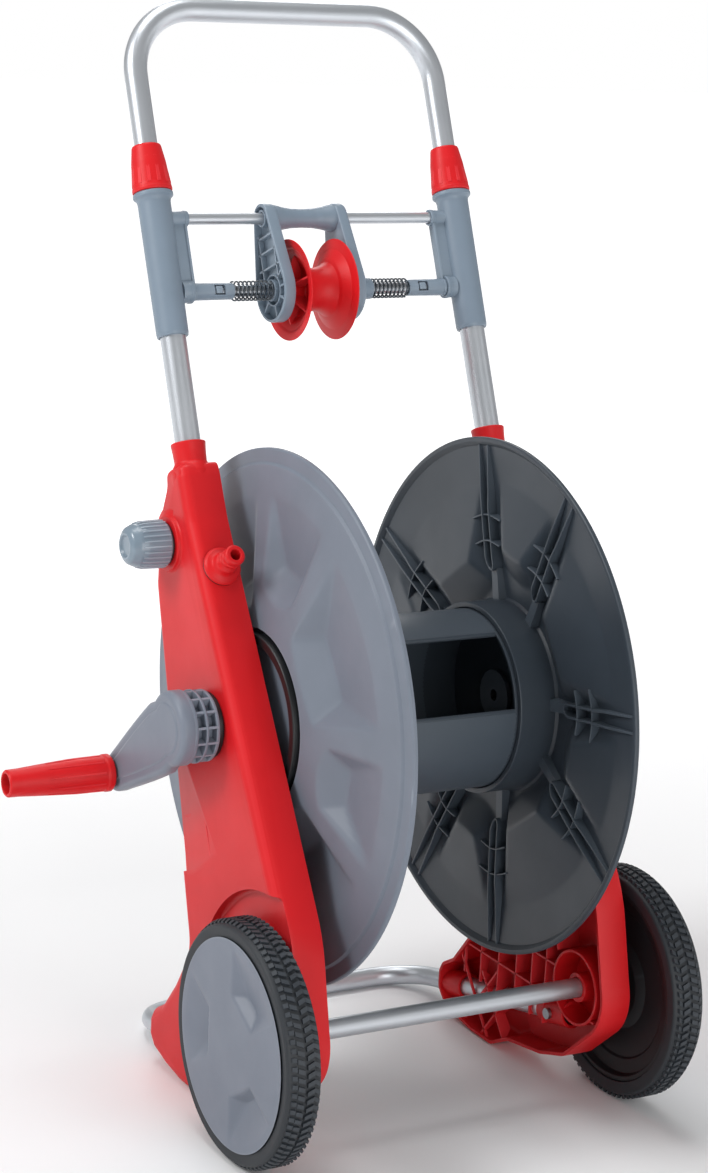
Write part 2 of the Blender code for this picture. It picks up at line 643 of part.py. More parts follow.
def pocket(name, turn, half_angle, near, deep, depth, wall):
    """The wedge of a pocket in a disc's outer face, deepest on a line across it, or its grown wall."""
    far = POCKET_END + wall
    half = half_angle + wall / deep
    top = 0.012 if wall == 0 else -0.0013
    corners = []
    for radius, share, steps in ((near - wall, 0.8, 2), (far, 1.0, 3)):
        for step in range(steps + 1):
            angle = turn + half * share * (2 * step / steps - 1)
            middle = Vector((radius * math.cos(angle), radius * math.sin(angle)))
            corners.append((*middle, cone(radius) + top))
            corners.append((*middle, cone(radius) - 0.0014 - wall * 0.3))
    for sign in (-1, 1):
        angle = turn + sign * half * 0.55
        corners.append((deep * math.cos(angle), deep * math.sin(angle), cone(deep) - depth - wall * 0.9))
    body = bmesh.new()
    for corner in corners:
        body.verts.new(corner)
    bmesh.ops.convex_hull(body, input=body.verts)
    loose = [vert for vert in body.verts if not vert.link_faces]
    bmesh.ops.delete(body, geom=loose, context="VERTS")
    mesh = bpy.data.meshes.new(name)
    body.to_mesh(mesh)
    body.free()
    return made(name, mesh)


def disc(side, sign):
    """One drum disc, with its wedge pockets."""
    line = empty(f"disc_line_{side}", REEL_LINE, (0, 0, 0), (0, 0 if sign > 0 else math.pi, 0))
    body = place(turned(f"drum_disc_{side}", disc_profile(), "drum_grey", 40), line)
    kinds = (("small", 0, math.radians(13), 0.106, 0.127, 0.012),
             ("large", math.pi / 4, math.radians(22), 0.0865, 0.116, 0.013))
    for wall in (WALL, 0):
        for kind, offset, half, near, deep, depth in kinds:
            for index in range(4):
                turn = drum_angle(REEL_TURN + offset + index * math.pi / 2, sign)
                tool = pocket(f"{kind}_{index}_{side}_{wall}", turn, half, near, deep, depth, wall)
                (join if wall else cut)(body, place(tool, line))
    return body


def drum_angle(angle, sign):
    """Turn an angle seen from +X, from +Y up, into one about the axis of a disc line."""
    return math.pi / 2 + sign * angle


def drum():
    """The barrel between the discs, with its window."""
    length = HUB_X - HUB_RECESS - WALL - GAP
    barrel = ring("drum_barrel", BARREL_RADIUS, BARREL_RADIUS - BARREL_WALL, -length, length, "drum_grey", 40)
    place(barrel, REEL_LINE)
    half = math.radians(27)
    middle = math.radians(146)
    outline = [Vector((0, 0))]
    outline += [0.11 * Vector((math.cos(a), math.sin(a))) for a in (middle - half, middle, middle + half)]
    outline = [REEL + point for point in outline]
    window = place(plate("drum_window", outline, -BARREL_END + 0.004, BARREL_END - 0.004), ROOT)
    cut(barrel, window)


def drum_shafts():
    """The hollow crank shaft, the stub shaft on the other side, their nut and the black hub rings."""
    inner = HUB_X - HUB_RECESS
    collar = FRAME_IN - 0.0010
    shaft = [(SHAFT_RADIUS, CRANK_BACK + 0.0255), (SHAFT_RADIUS, collar), (0.0160, collar),
             (0.0160, inner + 0.0038), (SHAFT_RADIUS, inner + 0.0038), (SHAFT_RADIUS, inner - 0.0150),
             (0.0100, inner - 0.0150), (0.0100, inner - 0.0280), (SHAFT_BORE, inner - 0.0280),
             (SHAFT_BORE, CRANK_BACK - 0.020), (0, CRANK_BACK - 0.020), (0, CRANK_BACK + 0.0255)]
    left = empty("shaft_line_left", REEL_LINE, (0, 0, 0), (0, math.pi, 0))
    crank_shaft = place(turned("crank_shaft", [*reversed(shaft)][::-1], "steel", 16), left)
    port = place(rod("shaft_port", 0.0035, -0.02, 0.02, segments=8), left,
                 (0, 0, FRAME_IN + 0.010), (0, math.pi / 2, 0))
    cut(crank_shaft, port)
    nut = place(rod("shaft_nut", 0.0185, inner - 0.0130, inner - 0.0058, "steel", 6), left)
    cut(nut, place(rod("shaft_nut_bore", SHAFT_RADIUS + GAP, inner - 0.02, inner), left))
    stub = [(SHAFT_RADIUS, FRAME_OUT - 0.0060), (SHAFT_RADIUS, inner - 0.0058), (0.0220, inner - 0.0058),
            (0.0220, inner - 0.0095), (0.0050, inner - 0.0095), (0.0050, FRAME_OUT - 0.0060)]
    place(turned("stub_shaft", stub, "steel", 16), REEL_LINE)
    for side, sign in SIDES.items():
        line = bpy.data.objects[f"disc_line_{side}"]
        hub_ring = [(BARREL_RADIUS - 0.0045, RING_X), (BARREL_RADIUS - 0.0038, inner + GAP),
                    (BARREL_RADIUS - 0.0140, inner + GAP), (BARREL_RADIUS - 0.0120, RING_X)]
        place(turned(f"hub_ring_{side}", hub_ring, "black", 32), line)


def drum_outlet():
    """The elbow on the shaft's end inside the barrel and the hose connector that it carries."""
    inner = HUB_X - HUB_RECESS
    at = -(inner - 0.0230)
    window = math.radians(146)
    elbow = place(rod("outlet_elbow", 0.0140, -(inner - 0.0160), at + 0.0190, "dark_grey", 16), REEL_LINE)
    arm_turn = (0, 0, 0)
    line = empty("outlet_line", ROOT, (at + 0.0080, REEL.x, REEL.y), (window - math.pi / 2, 0, 0))
    arm = place(rod("outlet_arm", 0.0085, 0, 0.0400, segments=16), line, (0, 0, 0), arm_turn)
    join(elbow, arm)
    shaft_bore = place(rod("outlet_shaft_bore", 0.0100 + GAP, -(inner - 0.0120), at + 0.0080), REEL_LINE)
    flow = place(rod("outlet_flow", 0.0050, 0, 0.06, segments=12), line)
    cut(elbow, shaft_bore, flow)
    nut = [(0.0125, 0.0540), (0.0125, 0.0280), (0.0085 + GAP, 0.0280), (0.0085 + GAP, 0.0405),
           (0.0060, 0.0405), (0.0060, 0.0540)]
    connector = place(turned("hose_connector", nut, "dark_grey", 16), line)
    wings = place(block("connector_wings", (-0.0190, -0.0020, 0.0300), (0.0190, 0.0020, 0.0380)), line)
    wing_bore = place(rod("connector_bore", 0.0085 + GAP, 0.02, 0.0405), line)
    cut(wings, wing_bore)
    join(connector, wings)


def bushes():
    """The bushes in the side frames that the drum turns in, and the water swivel round the shaft."""
    left = bpy.data.objects["shaft_line_left"]
    bush = [(COLLAR_RING_RADIUS, CRANK_BACK - 0.0008), (COLLAR_RING_RADIUS, FRAME_OUT + GAP),
            (0.0170, FRAME_OUT + GAP), (0.0170, FRAME_OUT - 0.0150), (SHAFT_RADIUS + GAP, FRAME_OUT - 0.0150),
            (SHAFT_RADIUS + GAP, CRANK_BACK - 0.0008)]
    place(turned("crank_bush", bush, "black", 24), left)
    right = ring("drum_bush", 0.0170, SHAFT_RADIUS + GAP, FRAME_IN + 0.0010, FRAME_OUT - 0.0045, "black", 24)
    place(right, REEL_LINE)
    swivel = place(ring("water_swivel", 0.0200, SHAFT_RADIUS + GAP, FRAME_IN + 0.0010, FRAME_OUT - 0.0157,
                        "dark_grey", 16), left)
    tail = place(rod("swivel_tail", 0.0045, 0.0150, 0.0400, segments=12), SWIVEL_LINE)
    core = place(rod("swivel_core", SHAFT_RADIUS + GAP, FRAME_IN - 0.01, FRAME_OUT), left)
    cut(tail, core)
    join(swivel, tail)
    port = place(rod("swivel_port", 0.0028, 0, 0.05, segments=8), SWIVEL_LINE)
    cut(swivel, port)


# ---- crank --------------------------------------------------------------------------------------
def crank():
    """The crank arm on the shaft, its screw, the grip's pin and the grip."""
    hub = turned("crank_arm", [(CRANK_HUB_RADIUS - 0.001, CRANK_FACE), (CRANK_HUB_RADIUS, CRANK_FACE - 0.002),
                               (CRANK_HUB_RADIUS - 0.002, CRANK_BACK),
                               (SHAFT_RADIUS + GAP, CRANK_BACK), (SHAFT_RADIUS + GAP, CRANK_BACK + 0.0258),
                               (0.0035, CRANK_BACK + 0.0258), (0.0035, CRANK_FACE)], "arm_grey", 32)
    left = bpy.data.objects["shaft_line_left"]
    place(hub, left)
    direction = (GRIP - REEL).normalized()
    aside = Vector((-direction.y, direction.x))
    start = math.degrees(CRANK_ARM_ANGLE)
    root = arc(REEL, CRANK_HUB_RADIUS - 0.002, start + 70, start + 290, 10)
    tip = arc(GRIP, GRIP_BASE_RADIUS, start - 90, start + 90, 8)
    belly = 0.0265
    middle = REEL + direction * CRANK_ARM_LENGTH * 0.42
    outline = root + [middle - aside * belly] + tip + [middle + aside * belly]
    leaf = place(plate("crank_leaf", outline, -CRANK_FACE + 0.0001, -CRANK_FACE + CRANK_ARM_THICKNESS), ROOT)
    core = place(rod("crank_core", 0.0150, CRANK_FACE - 0.02, CRANK_FACE + 0.01), left)
    cut(leaf, core)
    join(hub, leaf)
    pin_hole = place(rod("grip_pin_hole", GRIP_PIN_RADIUS + GAP, -CRANK_FACE - 0.01,
                         -CRANK_FACE + CRANK_ARM_THICKNESS - 0.003), GRIP_LINE)
    recess = place(rod("crank_screw_recess", 0.0060, CRANK_FACE - 0.0045, CRANK_FACE + 0.01), left)
    cut(hub, pin_hole, recess)
    screw = place(rod("crank_screw", 0.0055, CRANK_FACE - 0.0042, CRANK_FACE - 0.0008, "steel", 12), left)
    shank = place(rod("crank_screw_shank", 0.0030, CRANK_BACK + 0.0262, CRANK_FACE - 0.002, segments=8), left)
    join(screw, shank)
    far = empty("grip_out", GRIP_LINE, (0, 0, 0), (0, math.pi, 0))
    pin = place(rod("grip_pin", GRIP_PIN_RADIUS, CRANK_FACE - CRANK_ARM_THICKNESS + 0.0033,
                    GRIP_TIP_X - 0.0080, "steel", 12), far)
    head = place(rod("grip_pin_head", 0.0070, GRIP_TIP_X - 0.0105, GRIP_TIP_X - 0.0078, segments=12), far)
    join(pin, head)
    grip = [(GRIP_BASE_RADIUS - 0.0015, GRIP_X), (GRIP_BASE_RADIUS, GRIP_X + 0.002),
            (GRIP_BASE_RADIUS - 0.0008, GRIP_X + GRIP_LENGTH * 0.12), (GRIP_TIP_RADIUS, GRIP_TIP_X - 0.0015),
            (GRIP_TIP_RADIUS - 0.0012, GRIP_TIP_X), (0.0085, GRIP_TIP_X), (0.0078, GRIP_TIP_X - 0.0110),
            (GRIP_PIN_RADIUS + GAP, GRIP_TIP_X - 0.0110), (GRIP_PIN_RADIUS + GAP, GRIP_X)]
    place(turned("crank_grip", grip[::-1], "red", 20), far)


# ---- handle, lower tubes and brackets -----------------------------------------------------------
def handle():
    """The U-shaped handle tube, whose legs slide in the lower tubes."""
    corner = HANDLE_TOP - HANDLE_BEND
    half = [(-TUBE_X, HANDLE_END), (-TUBE_X, corner)]
    for step in range(1, 8):
        angle = math.pi / 2 * step / 7
        half.append((-TUBE_X + HANDLE_BEND * (1 - math.cos(angle)), corner + HANDLE_BEND * math.sin(angle)))
    flat = half + [(-x, length) for x, length in reversed(half)]
    route = [(x, *along(length)) for x, length in flat]
    place(pipe("handle_tube", route, HANDLE_RADIUS, HANDLE_WALL, "tube_steel", 3), ROOT)


def lower_tube(side):
    """The tube that stands in a side frame and carries a bracket."""
    bore = TUBE_RADIUS - TUBE_WALL
    place(ring(f"lower_tube_{side}", TUBE_RADIUS, bore, TUBE_END, BRACKET_TOP - 0.004, "tube_steel", 20),
          TUBE_LINES[side])


def bracket(side, sign):
    """The moulded bracket on a lower tube: sleeve, flange, threaded neck, rod socket, web and boss."""
    line = TUBE_LINES[side]
    bore = TUBE_RADIUS + GAP
    outer = bore + BRACKET_WALL
    neck = HANDLE_RADIUS + 0.0030
    profile = [(neck, NUT_FOOT + 0.018), (neck, BRACKET_TOP + FLANGE_HEIGHT),
               (FLANGE_RADIUS, BRACKET_TOP + FLANGE_HEIGHT), (FLANGE_RADIUS, BRACKET_TOP),
               (outer + 0.0004, BRACKET_TOP - 0.001), (outer, BRACKET_FOOT + 0.001),
               (outer - 0.0008, BRACKET_FOOT), (bore, BRACKET_FOOT), (bore, BRACKET_TOP - 0.0037),
               (HANDLE_RADIUS + GAP, BRACKET_TOP - 0.0037), (HANDLE_RADIUS + GAP, NUT_FOOT + 0.018)]
    body = place(turned(f"bracket_{side}", profile, "dark_grey", 20), line)
    start = TUBE_X - outer + 0.0012
    sockets = []
    for kind, axis, radius in (("rod_socket", ROD_LINE, GUIDE_ROD_RADIUS + 0.0016),
                               ("spindle_boss", SPINDLE_LINE, GUIDE_ROD_RADIUS + 0.0048)):
        low, high = span(sign, SOCKET_X, start)
        sockets.append(place(rod(f"{kind}_{side}", radius, low, high), axis))
    web_low, web_high = span(sign, SOCKET_X + 0.002, start)
    web = block(f"web_{side}", (web_low - sign * TUBE_X, -0.0028, SPINDLE_AT),
                (web_high - sign * TUBE_X, 0.0028, ROD_AT))
    join(body, *sockets, place(web, line))
    for kind, axis in (("rod_hole", ROD_LINE), ("spindle_hole", SPINDLE_LINE)):
        low, high = span(sign, SOCKET_X - 0.01, start - 0.0015)
        cut(body, place(rod(f"{kind}_{side}", GUIDE_ROD_RADIUS + GAP, low, high, segments=12), axis))
    return body


def clamp(side):
    """The clamp nut over the neck of a bracket and the split collet that it squeezes on the handle."""
    line = TUBE_LINES[side]
    neck = HANDLE_RADIUS + 0.0030
    seat = NUT_FOOT + 0.018 + GAP
    profile = [(neck - 0.0012, NUT_TOP - 0.005), (neck, seat), (HANDLE_RADIUS + GAP, seat),
               (HANDLE_RADIUS + GAP, NUT_TOP - 0.005)]
    collet = turned(f"collet_{side}", profile, "black", 20)
    place(collet, line)
    slot = place(block(f"collet_slot_{side}", (-0.0012, 0.002, seat - 0.01), (0.0012, 0.03, NUT_TOP)), line)
    cut(collet, slot)
    nut = [(HANDLE_RADIUS + 0.0024, NUT_TOP), (FLANGE_RADIUS - 0.0020, NUT_TOP - NUT_HEIGHT * 0.30),
           (FLANGE_RADIUS - 0.0002, NUT_FOOT + 0.004), (FLANGE_RADIUS - 0.0008, NUT_FOOT),
           (neck + GAP, NUT_FOOT), (neck + GAP, seat + 0.003), (neck - 0.0012 + GAP, NUT_TOP - 0.0045),
           (HANDLE_RADIUS + GAP, NUT_TOP - 0.0045), (HANDLE_RADIUS + GAP, NUT_TOP)]
    place(turned(f"clamp_nut_{side}", nut, "red", 20), line)


# ---- hose guide ---------------------------------------------------------------------------------
def guide_rods():
    """The guide rod and the spindle rod between the brackets."""
    end = TUBE_X - TUBE_RADIUS - BRACKET_WALL - 0.0009
    place(rod("guide_rod", GUIDE_ROD_RADIUS, -end, end, "tube_steel", 12), ROD_LINE)
    place(rod("spindle_rod", GUIDE_ROD_RADIUS, -end, end, "steel", 12), SPINDLE_LINE)


def spindle_sleeve(side, sign):
    """The sleeve that a spring bears on, with the window that its catch snaps into."""
    line = empty(f"sleeve_line_{side}", SPINDLE_LINE, (0, 0, 0), (0, 0 if sign > 0 else math.pi, 0))
    bore = GUIDE_ROD_RADIUS + GAP
    sleeve = place(ring(f"spindle_sleeve_{side}", SLEEVE_RADIUS, bore, SLEEVE_X, SOCKET_X - GAP,
                        "dark_grey", 20), line)
    middle = sign * ((SLEEVE_X + SOCKET_X) / 2 - 0.005 - TUBE_X)
    window = block(f"sleeve_window_{side}", (middle - 0.005, -0.02, SPINDLE_AT - 0.0045),
                   (middle + 0.005, -0.003, SPINDLE_AT + 0.0045))
    place(window, TUBE_LINES[side])
    cut(sleeve, window)


def spring(side, sign):
    """One coil spring between a sleeve and the yoke."""
    turns = SPRING_COILS
    steps = turns * 8
    mean = SLEEVE_RADIUS + 0.0010
    low = SPRING_X + SPRING_WIRE + GAP
    high = SLEEVE_X - SPRING_WIRE - GAP
    points = []
    for step in range(steps + 1):
        angle = 2 * math.pi * turns * step / steps
        points.append((mean * math.cos(angle), mean * math.sin(angle), low + (high - low) * step / steps))
    line = bpy.data.objects[f"sleeve_line_{side}"]
    place(pipe(f"guide_spring_{side}", points, SPRING_WIRE, 0.0, "steel", 0), line)


def teardrop(foot, head, grow=0.0):
    """Side view of a yoke plate: a large round end on the spindle and a small one on the guide rod."""
    big, small = foot + grow, head + grow
    low, high = along(SPINDLE_AT), along(ROD_AT)
    lean = math.degrees(math.asin((big - small) / (high - low).length))
    up = math.degrees(math.atan2(TUBE_DIRECTION.y, TUBE_DIRECTION.x))
    outline = arc(low, big, up + 90 - lean, up + 270 + lean, 12)
    outline += arc(high, small, up - 90 + lean, up + 90 - lean, 8)
    return outline


def yoke():
    """The sliding yoke: two teardrop plates, the bar that joins them, and hub bosses for the springs."""
    outer, inner = YOKE_HALF_WIDTH, YOKE_HALF_WIDTH - YOKE_PLATE
    outline = teardrop(YOKE_FOOT_RADIUS, YOKE_HEAD_RADIUS)
    low = YOKE_OFFSET - outer
    body = place(plate("guide_yoke", outline, low, YOKE_OFFSET - inner, "dark_grey"), ROOT)
    other = place(plate("yoke_right", outline, YOKE_OFFSET + inner, YOKE_OFFSET + outer), ROOT)
    bar_half = inner + 0.002
    bar = [(0, bar_half), (YOKE_HEAD_RADIUS - 0.001, bar_half), (YOKE_HEAD_RADIUS - 0.0015, bar_half - 0.003),
           (BAR_WAIST, bar_half * 0.45), (BAR_WAIST, -bar_half * 0.45),
           (YOKE_HEAD_RADIUS - 0.0015, 0.003 - bar_half), (YOKE_HEAD_RADIUS - 0.001, -bar_half),
           (0, -bar_half)]
    bar_line = empty("yoke_bar_line", ROD_LINE, (0, 0, YOKE_OFFSET))
    join(body, other, place(turned("yoke_bar", bar, None, 20), bar_line))
    shallow = teardrop(YOKE_FOOT_RADIUS, YOKE_HEAD_RADIUS, -0.0026)
    hollow_left = place(plate("yoke_hollow_left", shallow, low - 0.01, low + 0.0065), ROOT)
    hub_end = -SPRING_X
    hub = place(rod("yoke_hub_left", 0.0090, min(hub_end, low), low + 0.008), SPINDLE_LINE)
    cut(hollow_left, hub)
    hub_right = place(rod("yoke_hub_right", 0.0090, YOKE_OFFSET + outer - 0.002, SPRING_X), SPINDLE_LINE)
    cut(body, hollow_left)
    join(body, hub_right)
    for name, line in (("yoke_rod_hole", ROD_LINE), ("yoke_spindle_hole", SPINDLE_LINE)):
        cut(body, place(rod(name, GUIDE_ROD_RADIUS + GAP, -0.2, 0.2, segments=12), line))


def roller():
    """The waisted roller that the hose runs over."""
    half = YOKE_HALF_WIDTH - YOKE_PLATE - 0.0006
    rim = ROLLER_RIMS / 2
    bore = GUIDE_ROD_RADIUS + GAP
    side = [(ROLLER_RADIUS, rim + 0.0008), (ROLLER_RADIUS, rim - 0.0012)]
    groove = []
    for step in range(1, 8):
        share = step / 8
        angle = math.pi * share
        depth = math.sin(angle) ** 0.75
        radius = ROLLER_RADIUS - (ROLLER_RADIUS - ROLLER_WAIST) * depth
        groove.append((radius, (rim - 0.0012) * math.cos(angle)))
    mirrored = [(ROLLER_RADIUS, -rim + 0.0012), (ROLLER_RADIUS, -rim - 0.0008)]
    ends = [(0.030, -rim + 0.0035), (ROLLER_WAIST - 0.004, -0.012), (0.0095, -0.012), (0.0090, -half),
            (bore, -half), (bore, half), (0.0090, half), (0.0095, 0.012), (ROLLER_WAIST - 0.004, 0.012),
            (0.030, rim - 0.0035)]
    line = empty("roller_line", SPINDLE_LINE, (0, 0, YOKE_OFFSET))
    place(turned("guide_roller", side + groove + mirrored + ends, "red", 24), line)


# ---- water inlet and flow knob ------------------------------------------------------------------
SPIGOT_AT = along(COLLAR_TOP - SPIGOT_BELOW_COLLAR, 0.0305)
FRONT_EDGE = along(COLLAR_TOP - 0.066, 0.0195) - (AXLE + Vector((-0.022, 0.087)))
FRONT_NORMAL = Vector((-FRONT_EDGE.y, FRONT_EDGE.x)).normalized()
FRONT_FOOT = AXLE + Vector((-0.022, 0.087))
SPIGOT_SEAT = SPIGOT_AT - FRONT_NORMAL * (SPIGOT_AT - FRONT_FOOT).dot(FRONT_NORMAL)
SPIGOT_X = (FRAME_IN + FRAME_OUT) / 2 - 0.0015
SPIGOT_LINE = empty("spigot_line", ROOT, (-SPIGOT_X, SPIGOT_SEAT.x, SPIGOT_SEAT.y), toward(FRONT_NORMAL))
HOSE_X = (FRAME_IN + FRAME_OUT) / 2 - 0.0085
INLET_X = (FRAME_IN + FRAME_OUT) / 2 + 0.0065
KNOB_CENTRE = along(KNOB_AT, -KNOB_BEHIND_TUBE)
HOSE_WAY = (KNOB_CENTRE - REEL).normalized()
INLET_START = SPIGOT_SEAT - FRONT_NORMAL * 0.0137
INLET_LEAD = 0.018
INLET_WAY = (KNOB_CENTRE - INLET_START + FRONT_NORMAL * INLET_LEAD).normalized()
SWIVEL_LINE = empty("swivel_line", ROOT, (-HOSE_X, REEL.x, REEL.y), toward(HOSE_WAY))


def water_inlet():
    """The inlet spigot on the front edge and the seal under its flange."""
    profile = [(0.0078, SPIGOT_LENGTH), (0.0085, SPIGOT_LENGTH - 0.002), (0.0085, SPIGOT_LENGTH - 0.010),
               (0.0060, SPIGOT_LENGTH - 0.012), (0.0060, SPIGOT_LENGTH - 0.016),
               (0.0095, SPIGOT_LENGTH - 0.018),
               (0.0105, 0.0065), (SPIGOT_FLANGE - 0.0005, 0.0045), (SPIGOT_FLANGE, 0.0014), (0.0085, 0.0014),
               (0.0085, -0.0120), (0.0045, -0.0120), (0.0045, SPIGOT_LENGTH)]
    place(turned("inlet_spigot", profile, "red", 16), SPIGOT_LINE)
    place(ring("inlet_seal", 0.0130, 0.0085 + GAP, GAP, 0.0011, "black", 16), SPIGOT_LINE)


def flow_valve():
    """The flow knob, its stem with a seal, and the valve body inside the side frame."""
    line = empty("valve_line", KNOB_LINE, (0, 0, 0), (0, math.pi, 0))
    back = FRAME_OUT + 0.0055
    tip = back + KNOB_LENGTH
    knob = [(0, tip), (KNOB_RADIUS * 0.55, tip - 0.0008), (KNOB_RADIUS * 0.80, tip - 0.005),
            (KNOB_RADIUS * 0.90, tip - 0.010), (KNOB_RADIUS, back), (0.0060, back), (0.0060, back + 0.0130),
            (0, back + 0.0130)]
    place(turned("flow_knob", knob, "arm_grey", 24), line)
    stem = [(0, back + 0.0127), (0.0057, back + 0.0127), (0.0057, FRAME_IN + 0.0120), (0, FRAME_IN + 0.0120)]
    place(turned("valve_stem", stem, "steel", 12), line)
    place(ring("knob_seal", 0.0150, 0.0083, FRAME_OUT + 0.0035 + GAP, back - GAP, "black", 16), line)
    body = [(0.0142, FRAME_OUT - 0.0013), (0.0142, FRAME_IN + 0.0050), (0.0020, FRAME_IN + 0.0050),
            (0.0020, FRAME_IN + 0.0117), (0.0060, FRAME_IN + 0.0117), (0.0060, FRAME_OUT - 0.0013)]
    valve = place(turned("valve_body", body, "dark_grey", 16), line)
    tail_line = empty("valve_tail_line", ROOT, (-HOSE_X, KNOB_CENTRE.x, KNOB_CENTRE.y), toward(-HOSE_WAY))
    tail = place(rod("valve_tail", 0.0045, 0.0120, 0.0260, segments=12), tail_line)
    inlet_line = empty("valve_inlet_line", ROOT, (-INLET_X, KNOB_CENTRE.x, KNOB_CENTRE.y), toward(-INLET_WAY))
    inlet = place(rod("valve_inlet", 0.0045, 0.0120, 0.0190, segments=12), inlet_line)
    join(valve, tail, inlet)


def hose_points(first, last, first_x, last_x, lead=0.0):
    """A route from one (y, z) point to another, that leaves the first one straight along the lead."""
    elbow = first - FRONT_NORMAL * lead
    points = []
    for step in range(9):
        share = step / 8
        way = first.lerp(elbow, share).lerp(elbow.lerp(last, share), share)
        aside = min(1, max(0, (share - 0.125) * 2))
        points.append((-(first_x + (last_x - first_x) * aside), way.x, way.y))
    return points


def water_hoses():
    """The short hoses inside the left side frame: inlet to valve, and valve to swivel."""
    swivel_end = REEL + HOSE_WAY * 0.0203
    valve_end = KNOB_CENTRE - HOSE_WAY * 0.0146
    feed = hose_points(swivel_end, valve_end, HOSE_X, HOSE_X)
    place(pipe("feed_hose", feed, HOSE_RADIUS, HOSE_WALL, "hose", 2), ROOT)
    valve_in = KNOB_CENTRE - INLET_WAY * 0.0150
    inlet = hose_points(INLET_START, valve_in, SPIGOT_X, INLET_X, INLET_LEAD)
    place(pipe("inlet_hose", inlet, HOSE_RADIUS, HOSE_WALL, "hose", 2), ROOT)


# ---- build --------------------------------------------------------------------------------------
def build():
    """Make every part of the cart, side by side where it comes in pairs."""
    axle()
    foot_tube()
    for side, sign in SIDES.items():
        side_frame(side, sign)
        wheel(side, sign)
        lower_tube(side)
        bracket(side, sign)
        clamp(side)
        disc(side, sign)
        spindle_sleeve(side, sign)
        spring(side, sign)
    foot_screws()
    drum()
    drum_shafts()
    drum_outlet()
    bushes()
    crank()
    handle()
    guide_rods()
    yoke()
    roller()
    water_inlet()
    flow_valve()
    water_hoses()


build()
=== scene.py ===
"""Looks of a garden hose reel cart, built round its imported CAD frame.

Sizes are metres. Every shape is drawn in the cart's own datum: X from the mid-plane, Y from the
axle towards the back, Z from the ground. `Layout.datum` moves a finished mesh into the row frame.
"""

from __future__ import annotations

import logging
import math
from collections.abc import Callable, Iterable, Sequence
from dataclasses import dataclass, field
from enum import Enum
from math import cos, pi, radians, sin

import bmesh
import bpy
from bpy.types import Material, Mesh, Node, NodeSocket, NodeTree, Object
from mathutils import Matrix, Vector


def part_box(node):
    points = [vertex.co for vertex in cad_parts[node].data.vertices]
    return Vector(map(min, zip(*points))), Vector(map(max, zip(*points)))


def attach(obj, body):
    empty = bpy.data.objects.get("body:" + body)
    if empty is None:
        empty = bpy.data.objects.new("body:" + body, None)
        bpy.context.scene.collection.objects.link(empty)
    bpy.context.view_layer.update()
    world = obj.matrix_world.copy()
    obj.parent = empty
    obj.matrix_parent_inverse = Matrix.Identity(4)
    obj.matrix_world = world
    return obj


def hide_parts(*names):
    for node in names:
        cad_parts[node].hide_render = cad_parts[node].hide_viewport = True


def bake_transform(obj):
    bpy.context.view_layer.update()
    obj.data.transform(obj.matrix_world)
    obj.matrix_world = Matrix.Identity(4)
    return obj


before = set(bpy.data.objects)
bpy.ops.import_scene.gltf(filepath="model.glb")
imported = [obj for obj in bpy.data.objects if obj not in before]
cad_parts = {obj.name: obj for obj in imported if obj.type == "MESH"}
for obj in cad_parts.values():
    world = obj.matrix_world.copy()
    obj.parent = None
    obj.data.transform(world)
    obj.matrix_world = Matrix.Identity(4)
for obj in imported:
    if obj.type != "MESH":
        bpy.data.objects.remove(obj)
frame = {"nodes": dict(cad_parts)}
log = logging.getLogger("hose_cart")

MM = 0.001
FULL_TURN = 2 * pi
WELD = 1e-7
SHARP_EDGE = radians(38)

Profile = list[Vector]
Line = Sequence[Vector]
Relief = Callable[[float, float, float], float]


class Side(Enum):
    """The two sides of the cart: the crank is on the left one, at -X."""

    LEFT = -1
    RIGHT = 1

    @property
    def word(self) -> str:
        """The side's name as the CAD nodes spell it."""
        return self.name.lower()


# ---- materials ----------------------------------------------------------------------------------
def linear(colour: str) -> tuple[float, float, float, float]:
    """Turn an sRGB hex colour into linear RGBA.

    Args:
        colour: six hex digits after a hash sign.

    Returns:
        The linear colour with full alpha.
    """
    parts = [int(colour[i : i + 2], 16) / 255 for i in (1, 3, 5)]
    red, green, blue = (c / 12.92 if c <= 0.04045 else ((c + 0.055) / 1.055) ** 2.4 for c in parts)
    return red, green, blue, 1.0


def add_node(tree: NodeTree, kind: str, settings: dict[str, object] | None = None,
        inputs: dict[str | int, object] | None = None) -> Node:
    """Add a node, with its settings, its values and its links.

    Args:
        tree: the node tree it goes into.
        kind: Blender's name for the node.
        settings: properties to set on it.
        inputs: values or output sockets, by the name or number of the input.

    Returns:
        The new node.
    """
    node = tree.nodes.new(kind)
    for key, value in (settings or {}).items():
        setattr(node, key, value)
    for key, value in (inputs or {}).items():
        socket = node.inputs[key]
        if isinstance(value, NodeSocket):
            tree.links.new(value, socket)
        else:
            socket.default_value = value
    return node


def spread(tree: NodeTree, value: object, low: float, high: float) -> NodeSocket:
    """Map a 0 to 1 socket onto a range and return the new socket."""
    node = add_node(tree, "ShaderNodeMapRange", None, {0: value, 3: low, 4: high})
    return node.outputs[0]


def begun(name: str) -> tuple[Material, NodeTree, Node, NodeSocket]:
    """Start a material and return it, its tree, its shader and the object coordinates.

    Args:
        name: name of the material.

    Returns:
        The four of them.
    """
    made = bpy.data.materials.new(name)
    made.use_nodes = True
    tree = made.node_tree
    return made, tree, tree.nodes["Principled BSDF"], add_node(tree, "ShaderNodeTexCoord").outputs["Object"]


def join(shader: Node, skin: Node, relief: Node, rough: NodeSocket) -> None:
    """Link a colour mix, a bump and a roughness to the shader.

    Args:
        shader: the shader node.
        skin: the colour mix.
        relief: the bump node.
        rough: the roughness socket.
    """
    ends = (("Base Color", skin.outputs[2]), ("Normal", relief.outputs[0]), ("Roughness", rough))
    for name, socket in ends:
        shader.id_data.links.new(socket, shader.inputs[name])


